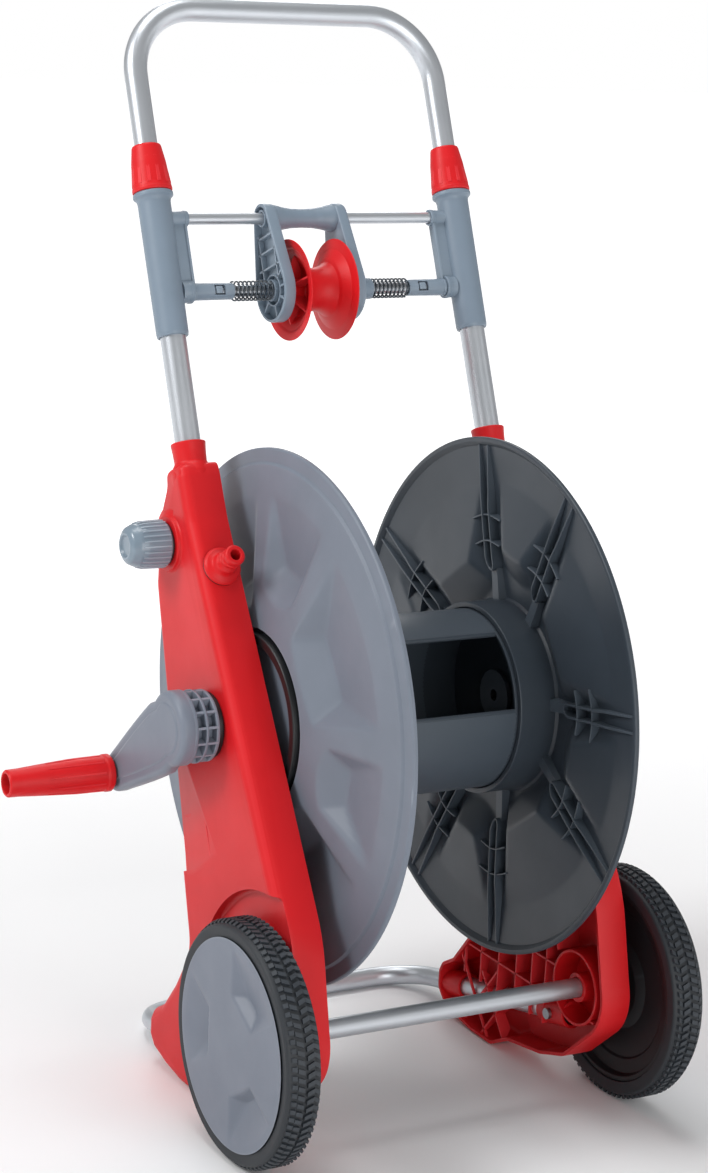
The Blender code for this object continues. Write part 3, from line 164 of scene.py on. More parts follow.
@dataclass(frozen=True)
class Moulded:
    """Injection-moulded polypropylene: satin skin, fine spark texture, slight flow mottling.

    The eye gets soft highlights, a barely uneven colour, and convex edges painted a lighter colour: partly rubbed wear,
    partly a painted highlight.
    """

    name: str
    colour: str
    shade: str
    # colour mixed in on convex edges: partly rubbed wear, partly a painted highlight
    edge: str
    roughness: float
    coat: float = 0.0
    specular: float = 0.5
    mottle_mm: float = 38.0
    texture_mm: float = 0.7
    texture_depth_mm: float = 0.03

    def material(self) -> Material:
        """Build the material's nodes and return it.

        Returns:
            The material.
        """
        made, tree, shader, where = begun(self.name)
        mottle = add_node(tree, "ShaderNodeTexNoise", None, {"Vector": where, "Scale": 1 / (self.mottle_mm * MM),
            "Detail": 5.0, "Roughness": 0.55})
        body = add_node(tree, "ShaderNodeMix", {"data_type": "RGBA"},
            {0: spread(tree, mottle.outputs[0], -0.35, 1.2), 6: linear(self.colour), 7: linear(self.shade)})
        # Convex edges get the lighter edge colour: partly rubbed wear, partly a painted highlight.
        convex_edges = add_node(tree, "ShaderNodeNewGeometry").outputs["Pointiness"]
        convex_edges = add_node(tree, "ShaderNodeMapRange", None, {0: convex_edges, 1: 0.515, 2: 0.60, 3: 0.0, 4: 0.55})
        skin = add_node(tree, "ShaderNodeMix", {"data_type": "RGBA"},
            {0: convex_edges.outputs[0], 6: body.outputs[2], 7: linear(self.edge)})
        spark = add_node(tree, "ShaderNodeTexNoise", None, {"Vector": where, "Scale": 1 / (self.texture_mm * MM),
            "Detail": 2.0, "Roughness": 0.5})
        relief = add_node(tree, "ShaderNodeBump", None, {"Height": spark.outputs[0], "Strength": 0.25,
            "Distance": self.texture_depth_mm * MM})
        rough = spread(tree, mottle.outputs[0], self.roughness - 0.05, self.roughness + 0.06)
        join(shader, skin, relief, rough)
        shader.inputs["IOR"].default_value = 1.49
        shader.inputs["Specular IOR Level"].default_value = self.specular
        shader.inputs["Coat Weight"].default_value = self.coat
        shader.inputs["Coat Roughness"].default_value = 0.25
        return made


@dataclass(frozen=True)
class Rubber:
    """Moulded solid rubber: matt black skin with fine pits and a grey bloom on its high spots."""

    name: str
    colour: str
    bloom: str
    roughness: float

    def material(self) -> Material:
        """Build the material's nodes and return it.

        Returns:
            The material.
        """
        made, tree, shader, where = begun(self.name)
        cloud = add_node(tree, "ShaderNodeTexNoise", None, {"Vector": where, "Scale": 45.0, "Detail": 6.0})
        convex_edges = add_node(tree, "ShaderNodeNewGeometry").outputs["Pointiness"]
        convex_edges = add_node(tree, "ShaderNodeMapRange", None, {0: convex_edges, 1: 0.50, 2: 0.62, 3: 0.05, 4: 0.75})
        amount = add_node(tree, "ShaderNodeMath", {"operation": "MULTIPLY"}, {0: convex_edges.outputs[0], 1: cloud.outputs[0]})
        skin = add_node(tree, "ShaderNodeMix", {"data_type": "RGBA"},
            {0: amount.outputs[0], 6: linear(self.colour), 7: linear(self.bloom)})
        pits = add_node(tree, "ShaderNodeTexNoise", None, {"Vector": where, "Scale": 1600.0, "Detail": 3.0})
        relief = add_node(tree, "ShaderNodeBump", None, {"Height": pits.outputs[0], "Strength": 0.4,
            "Distance": 0.05 * MM})
        rough = spread(tree, cloud.outputs[0], self.roughness - 0.08, self.roughness + 0.08)
        join(shader, skin, relief, rough)
        shader.inputs["IOR"].default_value = 1.52
        return made


@dataclass(frozen=True)
class DrawnTube:
    """Drawn steel or aluminium with lines along its length: lacquered, polished or zinc-plated.

    The eye gets a long stretched highlight with faint lines that follow the tube round its bends.
    """

    name: str
    colour: str
    shade: str
    roughness: float
    metallic: float = 1.0
    line_mm: float = 0.6
    stretch: float = 0.012

    def material(self) -> Material:
        """Build the material's nodes and return it.

        Returns:
            The material.
        """
        made, tree, shader, where = begun(self.name)
        drawn = add_node(tree, "ShaderNodeAttribute", {"attribute_name": "made"}).outputs["Vector"]
        scale = 1 / (self.line_mm * MM)
        lined = add_node(tree, "ShaderNodeMapping", None, {"Vector": drawn,
            "Scale": (scale, scale, scale * self.stretch)})
        lines = add_node(tree, "ShaderNodeTexNoise", None, {"Vector": lined.outputs[0], "Scale": 1.0, "Detail": 3.0})
        cloud = add_node(tree, "ShaderNodeTexNoise", None, {"Vector": where, "Scale": 30.0, "Detail": 4.0})
        skin = add_node(tree, "ShaderNodeMix", {"data_type": "RGBA"},
            {0: spread(tree, cloud.outputs[0], -0.2, 1.1), 6: linear(self.colour), 7: linear(self.shade)})
        relief = add_node(tree, "ShaderNodeBump", None, {"Height": lines.outputs[0], "Strength": 0.35,
            "Distance": 0.02 * MM})
        rough = spread(tree, lines.outputs[0], self.roughness - 0.07, self.roughness + 0.09)
        join(shader, skin, relief, rough)
        shader.inputs["Metallic"].default_value = self.metallic
        return made


# The third colour of each moulding is its edge colour: partly rubbed wear, partly a painted highlight.
RED = Moulded("red_moulded_polypropylene", "#D5191F", "#CA141A", "#E03A40", 0.43, specular=0.30)
DRUM_GREY = Moulded("grey_moulded_polypropylene", "#737B88", "#6C7480", "#8C939E", 0.46)
# The drum's own grey, darkened as painted shade for the right disc and the barrel, which lie in the left disc's shadow.
DRUM_GREY_IN_PAINTED_SHADE = Moulded("grey_moulded_polypropylene_painted_shade", "#3A424B", "#343C44", "#535D67", 0.42)
BRACKET_GREY = Moulded("blue_grey_moulded_polyamide", "#7C8B9A", "#748391", "#93A1AE", 0.40)
ARM_GREY = Moulded("light_grey_moulded_polypropylene", "#777E8B", "#6F7683", "#8E95A1", 0.45)
KNOB_GREY = Moulded("glossy_grey_moulded_abs", "#7C8C99", "#72828F", "#A0AEBA", 0.24, 0.30)
BLACK = Moulded("black_moulded_acetal", "#15171A", "#101214", "#2A2D31", 0.42)
WHEEL_BLACK = Moulded("charcoal_moulded_polypropylene", "#1D1F22", "#191B1E", "#303338", 0.50)
TYRE_RUBBER = Rubber("solid_moulded_rubber", "#21252A", "#434A52", 0.60)
HOSE_RUBBER = Rubber("extruded_black_rubber", "#151618", "#2A2C2F", 0.55)
LACQUERED_TUBE = DrawnTube("silver_lacquered_steel_tube", "#D0D4D9", "#C5CAD0", 0.36, 0.85)
BRIGHT_ROD = DrawnTube("bright_drawn_steel_rod", "#B9BDC2", "#A9ADB3", 0.26)
ZINC = DrawnTube("zinc_plated_steel", "#A7ABAF", "#979BA1", 0.38)
SPRING_STEEL = DrawnTube("oiled_spring_steel_wire", "#5C6269", "#4B5157", 0.32, 0.95)


# ---- shells -------------------------------------------------------------------------------------
@dataclass
class Shell:
    """One closed skin: its corners, its faces, and where each corner lay when the stock was straight."""

    corners: list[Vector]
    faces: list[tuple[int, ...]]
    made: list[Vector] = field(default_factory=list)

    def moved(self, place: Matrix) -> Shell:
        """Return the shell moved by a matrix; the made places stay."""
        return Shell([place @ c for c in self.corners], self.faces, self.made or list(self.corners))


def rounded(points: Line, radius: float | Sequence[float], steps: int = 4, closed: bool = True,
        support: float = 0.0005) -> Profile:
    """Round the corners of a flat outline.

    Args:
        points: the corners, in order.
        radius: one fillet radius, or one for each corner.
        steps: straight bits in each fillet.
        closed: whether the last corner joins the first.
        support: an extra point this far outside each fillet keeps flat parts flat when shaded.

    Returns:
        The outline with fillets.
    """
    result: Profile = []
    count = len(points)
    for i, corner in enumerate(points):
        size = radius if isinstance(radius, (int, float)) else radius[i]
        if size <= 0 or (not closed and i in (0, count - 1)):
            result.append(corner)
            continue
        back = points[i - 1] - corner
        ahead = points[(i + 1) % count] - corner
        room = 0.48 * min(back.length, ahead.length)
        angle = back.angle(ahead)
        if angle > pi - 0.02 or room < 1e-6:
            result.append(corner)
            continue
        reach = min(size / math.tan(angle / 2), room)
        size = reach * math.tan(angle / 2)
        back.normalize()
        ahead.normalize()
        centre = corner + (back + ahead).normalized() * (size / sin(angle / 2))
        start = corner + back * reach - centre
        turn = (pi - angle) * (1 if back.cross(ahead) < 0 else -1)
        first = math.atan2(start.y, start.x)
        supported = support > 0 and reach + support < room
        if supported:
            result.append(corner + back * (reach + support))
        for step in range(steps + 1):
            at = first + turn * step / steps
            result.append(centre + size * ray(at))
        if supported:
            result.append(corner + ahead * (reach + support))
    return result


def ray(angle: float) -> Vector:
    """The flat unit vector at an angle."""
    return Vector((cos(angle), sin(angle)))


def pairs(*values: tuple[float, float]) -> Profile:
    """Turn number pairs into flat vectors."""
    return [Vector(value) for value in values]


def lathe(profile: Line, steps: int, place: Matrix | None = None, relief: Relief | None = None) -> Shell:
    """Turn a profile of (radius, height) points about Z.

    Args:
        profile: a loop, or an open line whose two ends are on the axis.
        steps: columns in the full turn.
        place: moves the finished shell.
        relief: gives a height from (angle, radius, height), for surfaces that are not round.

    Returns:
        The closed shell.
    """
    corners: list[Vector] = []
    columns: list[list[int]] = []
    poles: dict[int, int] = {}
    for column in range(steps):
        angle = FULL_TURN * column / steps
        row = []
        for index, (radius, height) in enumerate(profile):
            if radius < WELD and index in poles:
                row.append(poles[index])
                continue
            if relief is not None:
                height = relief(angle, radius, height)
            corners.append(Vector((radius * cos(angle), radius * sin(angle), height)))
            row.append(len(corners) - 1)
            if radius < WELD:
                poles[index] = row[-1]
        columns.append(row)
    rows = len(profile)
    last = rows if not poles else rows - 1
    faces = []
    for column in range(steps):
        here, there = columns[column], columns[(column + 1) % steps]
        for i in range(last):
            j = (i + 1) % rows
            ring = dict.fromkeys((here[i], here[j], there[j], there[i]))
            if len(ring) > 2:
                faces.append(tuple(ring))
    return Shell(corners, faces).moved(place or Matrix())


def bar(radius: float, low: float, high: float, place: Matrix | None = None, edge: float = 0.0006,
        steps: int = 40) -> Shell:
    """A round bar along Z with softened ends."""
    profile = rounded(pairs((0, high), (radius, high), (radius, low), (0, low)), [0, edge, edge, 0], 3, False)
    return lathe(profile, steps, place)


def hoop(outer: float, inner: float, low: float, high: float, place: Matrix | None = None, edge: float = 0.0005,
        steps: int = 48) -> Shell:
    """A ring about Z with softened edges."""
    profile = rounded(pairs((outer, high), (outer, low), (inner, low), (inner, high)), edge, 3)
    return lathe(profile, steps, place)


def tube(path: Line, radius: float, wall: float, steps: int = 32) -> Shell:
    """A hollow tube, or a solid bar when it has no wall, along a path.

    Args:
        path: the middle line.
        radius: outer radius.
        wall: thickness of the wall, or 0 for a solid bar.
        steps: sides of the round section.

    Returns:
        The closed shell, with made places on the straightened tube.
    """
    tangents = []
    for i in range(len(path)):
        before, after = path[max(0, i - 1)], path[min(len(path) - 1, i + 1)]
        tangents.append((after - before).normalized())
    side = tangents[0].orthogonal().normalized()
    skins = [radius] if wall == 0 else [radius, radius - wall]
    corners: list[Vector] = []
    made: list[Vector] = []
    rings: list[list[list[int]]] = [[] for _ in skins]
    distance = 0.0
    for i, (centre, tangent) in enumerate(zip(path, tangents, strict=True)):
        side = (side - tangent * side.dot(tangent)).normalized()
        other = tangent.cross(side)
        if i:
            distance += (centre - path[i - 1]).length
        for skin, size in enumerate(skins):
            ring = []
            for k in range(steps):
                angle = FULL_TURN * k / steps
                reach = side * cos(angle) + other * sin(angle)
                ring.append(len(corners))
                corners.append(centre + reach * size)
                made.append(Vector((size * cos(angle), size * sin(angle), distance)))
            rings[skin].append(ring)
    faces = [quad for skin in rings for quad in bridge(skin)]
    ends = (0, len(path) - 1)
    for end in ends:
        if wall == 0:
            faces.append(tuple(rings[0][end]))
        else:
            faces += bridge([rings[0][end], rings[1][end]])
    return Shell(corners, faces, made)


def bridge(rings: Sequence[Sequence[int]]) -> list[tuple[int, ...]]:
    """Join neighbouring rings of corner numbers with quads.

    Args:
        rings: the rings, all of one size.

    Returns:
        The quads.
    """
    faces = []
    for first, second in zip(rings, rings[1:], strict=False):
        count = len(first)
        for k in range(count):
            n = (k + 1) % count
            faces.append((first[k], first[n], second[n], second[k]))
    return faces


def loft(rings: Sequence[Sequence[Vector]]) -> Shell:
    """Join rings of corners into a shell, with a flat face at each end.

    Args:
        rings: the rings, all of one size.

    Returns:
        The closed shell.
    """
    size = len(rings[0])
    numbers = [range(i * size, (i + 1) * size) for i in range(len(rings))]
    corners = [corner for ring in rings for corner in ring]
    return Shell(corners, bridge(numbers) + [tuple(numbers[0]), tuple(numbers[-1])])


def offset(outline: Line, distance: float) -> Profile:
    """Move every point of a flat outline inwards, and gather the points of bends that are too tight.

    Args:
        outline: the closed outline.
        distance: how far inwards.

    Returns:
        As many points as the outline has; gathered ones are in one place.
    """
    count = len(outline)
    area = sum(outline[i].cross(outline[(i + 1) % count]) for i in range(count))
    turn = 1 if area > 0 else -1
    moved = []
    for i in range(count):
        before = (outline[i] - outline[i - 1]).normalized()
        after = (outline[(i + 1) % count] - outline[i]).normalized()
        first = turn * Vector((-before.y, before.x))
        second = turn * Vector((-after.y, after.x))
        middle = (first + second).normalized()
        moved.append(outline[i] + middle * (distance / max(0.6, middle.dot(first))))
    good = [i for i in range(count) if gap_to(outline, moved[i]) > distance * 0.97]
    if distance <= 0 or len(good) < 4:
        return moved
    for place, start in enumerate(good):
        end = good[(place + 1) % len(good)]
        run = (end - start) % count
        if run < 2:
            continue
        meet = crossing(moved[start - 1], moved[start], moved[end], moved[(end + 1) % count])
        for step in range(1, run):
            moved[(start + step) % count] = meet
    return moved


def gap_to(outline: Line, point: Vector) -> float:
    """Distance from a point to the nearest edge of a closed outline.

    Args:
        outline: the closed outline.
        point: the flat point.

    Returns:
        The distance.
    """
    least = math.inf
    for a, b in zip(outline, [*outline[1:], outline[0]], strict=True):
        edge = b - a
        share = min(1.0, max(0.0, (point - a).dot(edge) / max(edge.length_squared, 1e-18)))
        least = min(least, (a + edge * share - point).length)
    return least


def crossing(a: Vector, b: Vector, c: Vector, d: Vector) -> Vector:
    """Where the line through a and b meets the line through c and d, or halfway from b to c.

    Args:
        a: first point of the first line.
        b: second point of the first line.
        c: first point of the second line.
        d: second point of the second line.

    Returns:
        The point.
    """
    first, second = b - a, c - d
    across = first.cross(second)
    halfway = (b + c) / 2
    if abs(across) < 1e-12:
        return halfway
    meet = a + first * ((c - a).cross(second) / across)
    return meet if (meet - halfway).length < (b - c).length * 1.5 else halfway


def slab(outline: Line, low: float, high: float, edge: float, back: float = 0.0006, sign: int = 1,
        steps: int = 5) -> Shell:
    """A plate across the cart with a rounded outer edge.

    Args:
        outline: its (y, z) outline, already filleted.
        low: distance of its inner face from the mid-plane.
        high: distance of its outer face from the mid-plane.
        edge: rounding of the outer edge.
        back: rounding of the inner edge.
        sign: -1 for the left side, 1 for the right side.
        steps: straight bits in the rounding.

    Returns:
        The closed shell.
    """
    rows = [(back + 0.0006, low)]
    for size, start, finish, height, way in ((back, 90, 0, low + back, -1), (edge, 0, 90, high - edge, 1)):
        if size <= 0:
            rows.append((0, height))
            continue
        count = 2 if size < 0.001 else steps
        for step in range(count + 1):
            angle = radians(start + (finish - start) * step / count)
            rows.append((size * (1 - cos(angle)), height + way * size * sin(angle)))
    rows.append((edge + 0.0008, high))
    outline = [point for i, point in enumerate(outline) if (point - outline[i - 1]).length > 0.00005]
    return loft([[Vector((sign * height, p.x, p.y)) for p in offset(outline, inset)] for inset, height in rows])


def block(low: Sequence[float], high: Sequence[float], place: Matrix | None = None, edge: float = 0.0005) -> Shell:
    """A box with chamfered edges along Z and softened ends.

    Args:
        low: its lowest corner.
        high: its highest corner.
        place: moves the finished shells.
        edge: size of the softened edge.

    Returns:
        The closed shell.
    """
    outline = rounded(pairs((low[0], low[1]), (high[0], low[1]), (high[0], high[1]), (low[0], high[1])), edge, 2)
    rows = ((edge, low[2]), (0, low[2] + edge), (0, high[2] - edge), (edge, high[2]))
    rings = [[Vector((p.x, p.y, height)) for p in offset(outline, inset * 0.6)] for inset, height in rows]
    return loft(rings).moved(place or Matrix())


def hull(points: Iterable[Sequence[float]]) -> Shell:
    """The convex shell round some points.

    Args:
        points: the points.

    Returns:
        The closed shell.
    """
    body = bmesh.new()
    for point in points:
        body.verts.new(point)
    bmesh.ops.convex_hull(body, input=body.verts)
    bmesh.ops.delete(body, geom=[v for v in body.verts if not v.link_faces], context="VERTS")
    body.verts.index_update()
    shell = Shell([v.co.copy() for v in body.verts], [tuple(v.index for v in f.verts) for f in body.faces])
    body.free()
    return shell


def ridge(rows: Iterable[tuple[float, float, float, float]], rise: float) -> Shell:
    """A grip ridge along a round skin.

    Args:
        rows: height, radius of the skin, and half the angle at the foot and at the top of the ridge.
        rise: how far it stands proud.

    Returns:
        The convex shell, rooted a millimetre under the skin.
    """
    points = []
    for height, skin, foot, top in rows:
        for radius, angle in ((skin - MM, -foot), (skin - MM, foot), (skin + rise, -top), (skin + rise, top)):
            points.append((radius * cos(angle), radius * sin(angle), height))
    return hull(points)


def arc(centre: Vector, radius: float, first: float, last: float, steps: int) -> Profile:
    """Points of an arc between two angles in degrees."""
    angles = [radians(first + (last - first) * i / steps) for i in range(steps + 1)]
    return [centre + radius * ray(a) for a in angles]


# ---- meshes and pieces --------------------------------------------------------------------------
def mesh_of(name: str, shells: Iterable[Shell], shift: Vector | None = None) -> Mesh:
    """Weld shells into one mesh whose faces point outwards.

    Args:
        name: name of the mesh.
        shells: the closed shells in it.
        shift: added to every corner.

    Returns:
        The mesh, with the made places as an attribute.
    """
    corners: list[Vector] = []
    made: list[Vector] = []
    faces: list[tuple[int, ...]] = []
    for shell in shells:
        start = len(corners)
        corners += shell.corners
        made += shell.made or shell.corners
        faces += [tuple(start + i for i in face) for face in shell.faces]
    if shift is not None:
        corners = [corner + shift for corner in corners]
    mesh = bpy.data.meshes.new(name)
    mesh.from_pydata(corners, [], faces)
    mesh.validate()
    stock = mesh.attributes.new("made", "FLOAT_VECTOR", "POINT")
    stock.data.foreach_set("vector", [value for place in made for value in place])
    body = bmesh.new()
    body.from_mesh(mesh)
    bmesh.ops.remove_doubles(body, verts=body.verts, dist=WELD)
    bmesh.ops.recalc_face_normals(body, faces=body.faces)
    body.to_mesh(mesh)
    body.free()
    return mesh


def object_of(name: str, mesh: Mesh) -> Object:
    """Link a mesh as an object at the origin.

    Args:
        name: its name.
        mesh: the mesh.

    Returns:
        The object.
    """
    made = bpy.data.objects.new(name, mesh)
    bpy.context.scene.collection.objects.link(made)
    return made


def evaluated(obj: Object) -> Mesh:
    """Return the plain mesh an object's modifiers give, and remove the object.

    Args:
        obj: the object.

    Returns:
        The mesh.
    """
    bpy.context.view_layer.update()
    graph = bpy.context.evaluated_depsgraph_get()
    mesh = bpy.data.meshes.new_from_object(obj.evaluated_get(graph), preserve_all_data_layers=True, depsgraph=graph)
    bpy.data.objects.remove(obj, do_unlink=True)
    return mesh


def carved(name: str, body: Iterable[Shell], cuts: Iterable[Iterable[Shell]], adds: Iterable[Iterable[Shell]] = (),
        keeps: Iterable[Iterable[Shell]] = ()) -> Mesh:
    """Cut tools out of a body with exact Booleans, after uniting what is added.

    Args:
        name: name of the result.
        body: the shells to start from.
        cuts: each tool's shells, cut in turn.
        adds: each tool's shells, united in turn, before the cuts.
        keeps: each tool's shells; only what is inside them stays.

    Returns:
        The carved mesh.
    """
    mesh = mesh_of(name, body)
    for operation, group in (("UNION", adds), ("INTERSECT", keeps), ("DIFFERENCE", cuts)):
        for shells in group:
            mesh = worked(name, mesh, list(shells), operation)
    return mesh


def worked(name: str, mesh: Mesh, shells: Sequence[Shell], operation: str) -> Mesh:
    """Do one Boolean; a tool whose faces fall on the target's is moved by a few micrometres and tried again.

    Args:
        name: name of the result.
        mesh: the mesh to work on.
        shells: the tool.
        operation: Blender's name for the operation.

    Returns:
        The first closed result, or the last one tried.
    """
    before, tool_size = volume_of(mesh), volume_of(mesh_of("size", shells))
    result = mesh
    for nudge in range(6):
        target = object_of(name, mesh.copy())
        shift = Vector((0.000004, 0.000007, 0.000005)) * nudge
        tool = object_of(f"{name}_tool", mesh_of(f"{name}_tool", shells, shift))
        step = target.modifiers.new(operation, "BOOLEAN")
        step.operation = operation
        step.solver = "EXACT"
        step.object = tool
        result = mesh_of(name, [shell_of(evaluated(target))])
        bpy.data.objects.remove(tool, do_unlink=True)
        after = volume_of(result)
        least = {"UNION": before, "DIFFERENCE": before - tool_size, "INTERSECT": 0.0}[operation]
        most = {"UNION": before + tool_size, "DIFFERENCE": before, "INTERSECT": min(before, tool_size)}[operation]
        if least - 1e-9 <= after <= most + 1e-9 and after > 0.02 * min(before, most) and is_closed(result):
            return result
    log.warning("%s: %s left open edges", name, operation)
    return result


def volume_of(mesh: Mesh) -> float:
    """Volume inside a mesh.

    Args:
        mesh: the mesh.

    Returns:
        The volume in cubic metres.
    """
    body = bmesh.new()
    body.from_mesh(mesh)
    volume = body.calc_volume()
    body.free()
    return volume


def is_closed(mesh: Mesh) -> bool:
    """Whether every edge of a mesh has two faces.

    Args:
        mesh: the mesh.

    Returns:
        True when the mesh has no open edge.
    """
    body = bmesh.new()
    body.from_mesh(mesh)
    closed = all(len(edge.link_faces) == 2 for edge in body.edges)
    body.free()
    return closed


def shell_of(mesh: Mesh) -> Shell:
    """Read a mesh back as a shell."""
    return Shell([v.co.copy() for v in mesh.vertices], [tuple(p.vertices) for p in mesh.polygons])


class Trees:
    """The Geometry Nodes trees that make what repeats, built once each."""

    def __init__(self) -> None:
        """Build both trees."""
        self.ring = self._ring_tree()
        self.coil = self._coil_tree()

    @staticmethod
    def _start(name: str, sockets: Sequence[tuple[str, str]]) -> tuple[NodeTree, Node]:
        """Make a tree with a geometry output and named inputs.

        Args:
            name: its name.
            sockets: name and type of each input.

        Returns:
            The tree and its input node.
        """
        tree = bpy.data.node_groups.new(name, "GeometryNodeTree")
        tree.interface.new_socket("Geometry", in_out="OUTPUT", socket_type="NodeSocketGeometry")
        tree.interface.new_socket("Geometry", in_out="INPUT", socket_type="NodeSocketGeometry")
        for label, kind in sockets:
            tree.interface.new_socket(label, in_out="INPUT", socket_type=kind)
        return tree, tree.nodes.new("NodeGroupInput")

    @staticmethod
    def _end(tree: NodeTree, geometry: NodeSocket, material: NodeSocket) -> None:
        """Realize instances, set the material and join the output.

        Args:
            tree: the tree.
            geometry: what comes out.
            material: the finish.
        """
        real = add_node(tree, "GeometryNodeRealizeInstances", None, {0: geometry})
        dressed = add_node(tree, "GeometryNodeSetMaterial", None, {"Geometry": real.outputs[0], "Material": material})
        add_node(tree, "NodeGroupOutput", None, {0: dressed.outputs[0]})

    def _ring_tree(self) -> NodeTree:
        """Copies of the object's own mesh, evenly round its Z axis.

        Returns:
            The tree.
        """
        tree, given = self._start("ring_of_copies", (("Count", "NodeSocketInt"), ("Material", "NodeSocketMaterial")))
        points = add_node(tree, "GeometryNodeMeshLine", {"mode": "OFFSET"},
            {"Count": given.outputs["Count"], "Offset": (0, 0, 0)})
        pitch = add_node(tree, "ShaderNodeMath", {"operation": "DIVIDE"}, {0: FULL_TURN, 1: given.outputs["Count"]})
        index = add_node(tree, "GeometryNodeInputIndex")
        angle = add_node(tree, "ShaderNodeMath", {"operation": "MULTIPLY"}, {0: index.outputs[0], 1: pitch.outputs[0]})
        turn = add_node(tree, "ShaderNodeCombineXYZ", None, {2: angle.outputs[0]})
        copies = add_node(tree, "GeometryNodeInstanceOnPoints", None,
            {"Points": points.outputs[0], "Instance": given.outputs["Geometry"], "Rotation": turn.outputs[0]})
        self._end(tree, copies.outputs[0], given.outputs["Material"])
        return tree

    def _coil_tree(self) -> NodeTree:
        """A coil spring along Z from its turns, radius, length and wire.

        Returns:
            The tree.
        """
        inputs = (("Turns", "NodeSocketFloat"), ("Radius", "NodeSocketFloat"), ("Length", "NodeSocketFloat"),
            ("Wire", "NodeSocketFloat"), ("Material", "NodeSocketMaterial"))
        tree, given = self._start("coil_spring", inputs)
        spiral = add_node(tree, "GeometryNodeCurveSpiral", None, {"Resolution": 40,
            "Rotations": given.outputs["Turns"], "Start Radius": given.outputs["Radius"],
            "End Radius": given.outputs["Radius"], "Height": given.outputs["Length"]})
        wire = add_node(tree, "GeometryNodeCurvePrimitiveCircle", None,
            {"Resolution": 10, "Radius": given.outputs["Wire"]})
        solid = add_node(tree, "GeometryNodeCurveToMesh", None, {"Curve": spiral.outputs[0],
            "Profile Curve": wire.outputs[0], "Fill Caps": True})
        self._end(tree, solid.outputs[0], given.outputs["Material"])
        return tree

    @staticmethod
    def run(tree: NodeTree, mesh: Mesh, values: dict[str, object]) -> Shell:
        """Run a tree on a mesh and return the plain result.

        Args:
            tree: the tree to run.
            mesh: the geometry that goes in.
            values: the tree's inputs by name.

        Returns:
            The result as a shell.
        """
        holder = object_of(tree.name, mesh)
        step = holder.modifiers.new("nodes", "NODES")
        step.node_group = tree
        for item in tree.interface.items_tree:
            if item.in_out == "INPUT" and item.name in values:
                step[item.identifier] = values[item.name]
        return shell_of(evaluated(holder))

    def copies(self, shells: Iterable[Shell], count: int, place: Matrix, finish: Material) -> Shell:
        """Repeat shells evenly round Z, then move them to their place."""
        values = {"Count": count, "Material": finish}
        return self.run(self.ring, mesh_of("unit", shells), values).moved(place)

    def spring(self, turns: float, radius: float, length: float, wire: float, place: Matrix,
            finish: Material) -> Shell:
        """Wind a spring along Z, then move it to its place."""
        values = {"Turns": turns, "Radius": radius, "Length": length, "Wire": wire, "Material": finish}
        return self.run(self.coil, mesh_of("wire", []), values).moved(place)


class Layout:
    """Where everything is, read from the CAD nodes."""

    lean: float = radians(23.5)

    def __init__(self) -> None:
        """Read the boxes of the nodes that carry the main axes."""
        axle = self._middle("axle_tube")
        self.datum = Vector((axle.x, axle.y, 0))
        self.axle = self._flat("axle_tube")
        self.reel = self._flat("drum_disc_left")
        self.grip = self._flat("crank_grip")
        self.knob = self._flat("flow_knob")
        self.rod = self._flat("guide_rod")
        self.spindle = self._flat("spindle_rod")
        self.tube_x = abs(self._middle("lower_tube_left").x - axle.x)
        self.foot_x = (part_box("foot_tube")[1].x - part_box("foot_tube")[0].x) / 2 - 0.0087
        self.way = Vector((sin(self.lean), cos(self.lean)))
        self.front = Vector((-cos(self.lean), sin(self.lean)))
        mid = self._flat("lower_tube_left")
        self.tube_foot = mid - self.way * (mid.y / self.way.y)
        self.collar_top = (self.reel - self.tube_foot).dot(self.way) + 0.2323
        self.frame_in = self._near("right_side_frame")
        self.frame_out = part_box("right_side_frame")[1].x - self.datum.x

    @staticmethod
    def _middle(node: str) -> Vector:
        """Middle of a node's box in the row frame."""
        low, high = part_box(node)
        return (low + high) / 2

    def _flat(self, node: str) -> Vector:
        """Middle of a node's box as (y, z) from the datum."""
        middle = self._middle(node) - self.datum
        return Vector((middle.y, middle.z))

    def _near(self, node: str) -> float:
        """Nearest distance of a right-hand node from the mid-plane."""
        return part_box(node)[0].x - self.datum.x

    def along(self, length: float, front: float = 0.0) -> Vector:
        """The (y, z) point at a length up the line of the tubes and a distance in front of it."""
        return self.tube_foot + self.way * length + self.front * front

    def length_of(self, point: Vector) -> float:
        """How far up the line of the tubes a (y, z) point is."""
        return (point - self.tube_foot).dot(self.way)

    def cross(self, centre: Vector, side: Side = Side.RIGHT) -> Matrix:
        """Move Z onto a cross axis, pointing outwards on the given side."""
        turn = Matrix.Rotation(side.value * pi / 2, 4, "Y")
        return Matrix.Translation((0, centre.x, centre.y)) @ turn

    def upright(self, side: Side) -> Matrix:
        """Move Z onto a handle tube's line, with -Y to the front."""
        x = side.value * self.tube_x
        return Matrix.Translation((x, self.tube_foot.x, 0)) @ Matrix.Rotation(-self.lean, 4, "X")

    @staticmethod
    def toward(x: float, centre: Vector, direction: Vector) -> Matrix:
        """Move Z from a point onto a (y, z) direction."""
        turn = Matrix.Rotation(math.atan2(-direction.x, direction.y), 4, "X")
        return Matrix.Translation((x, centre.x, centre.y)) @ turn


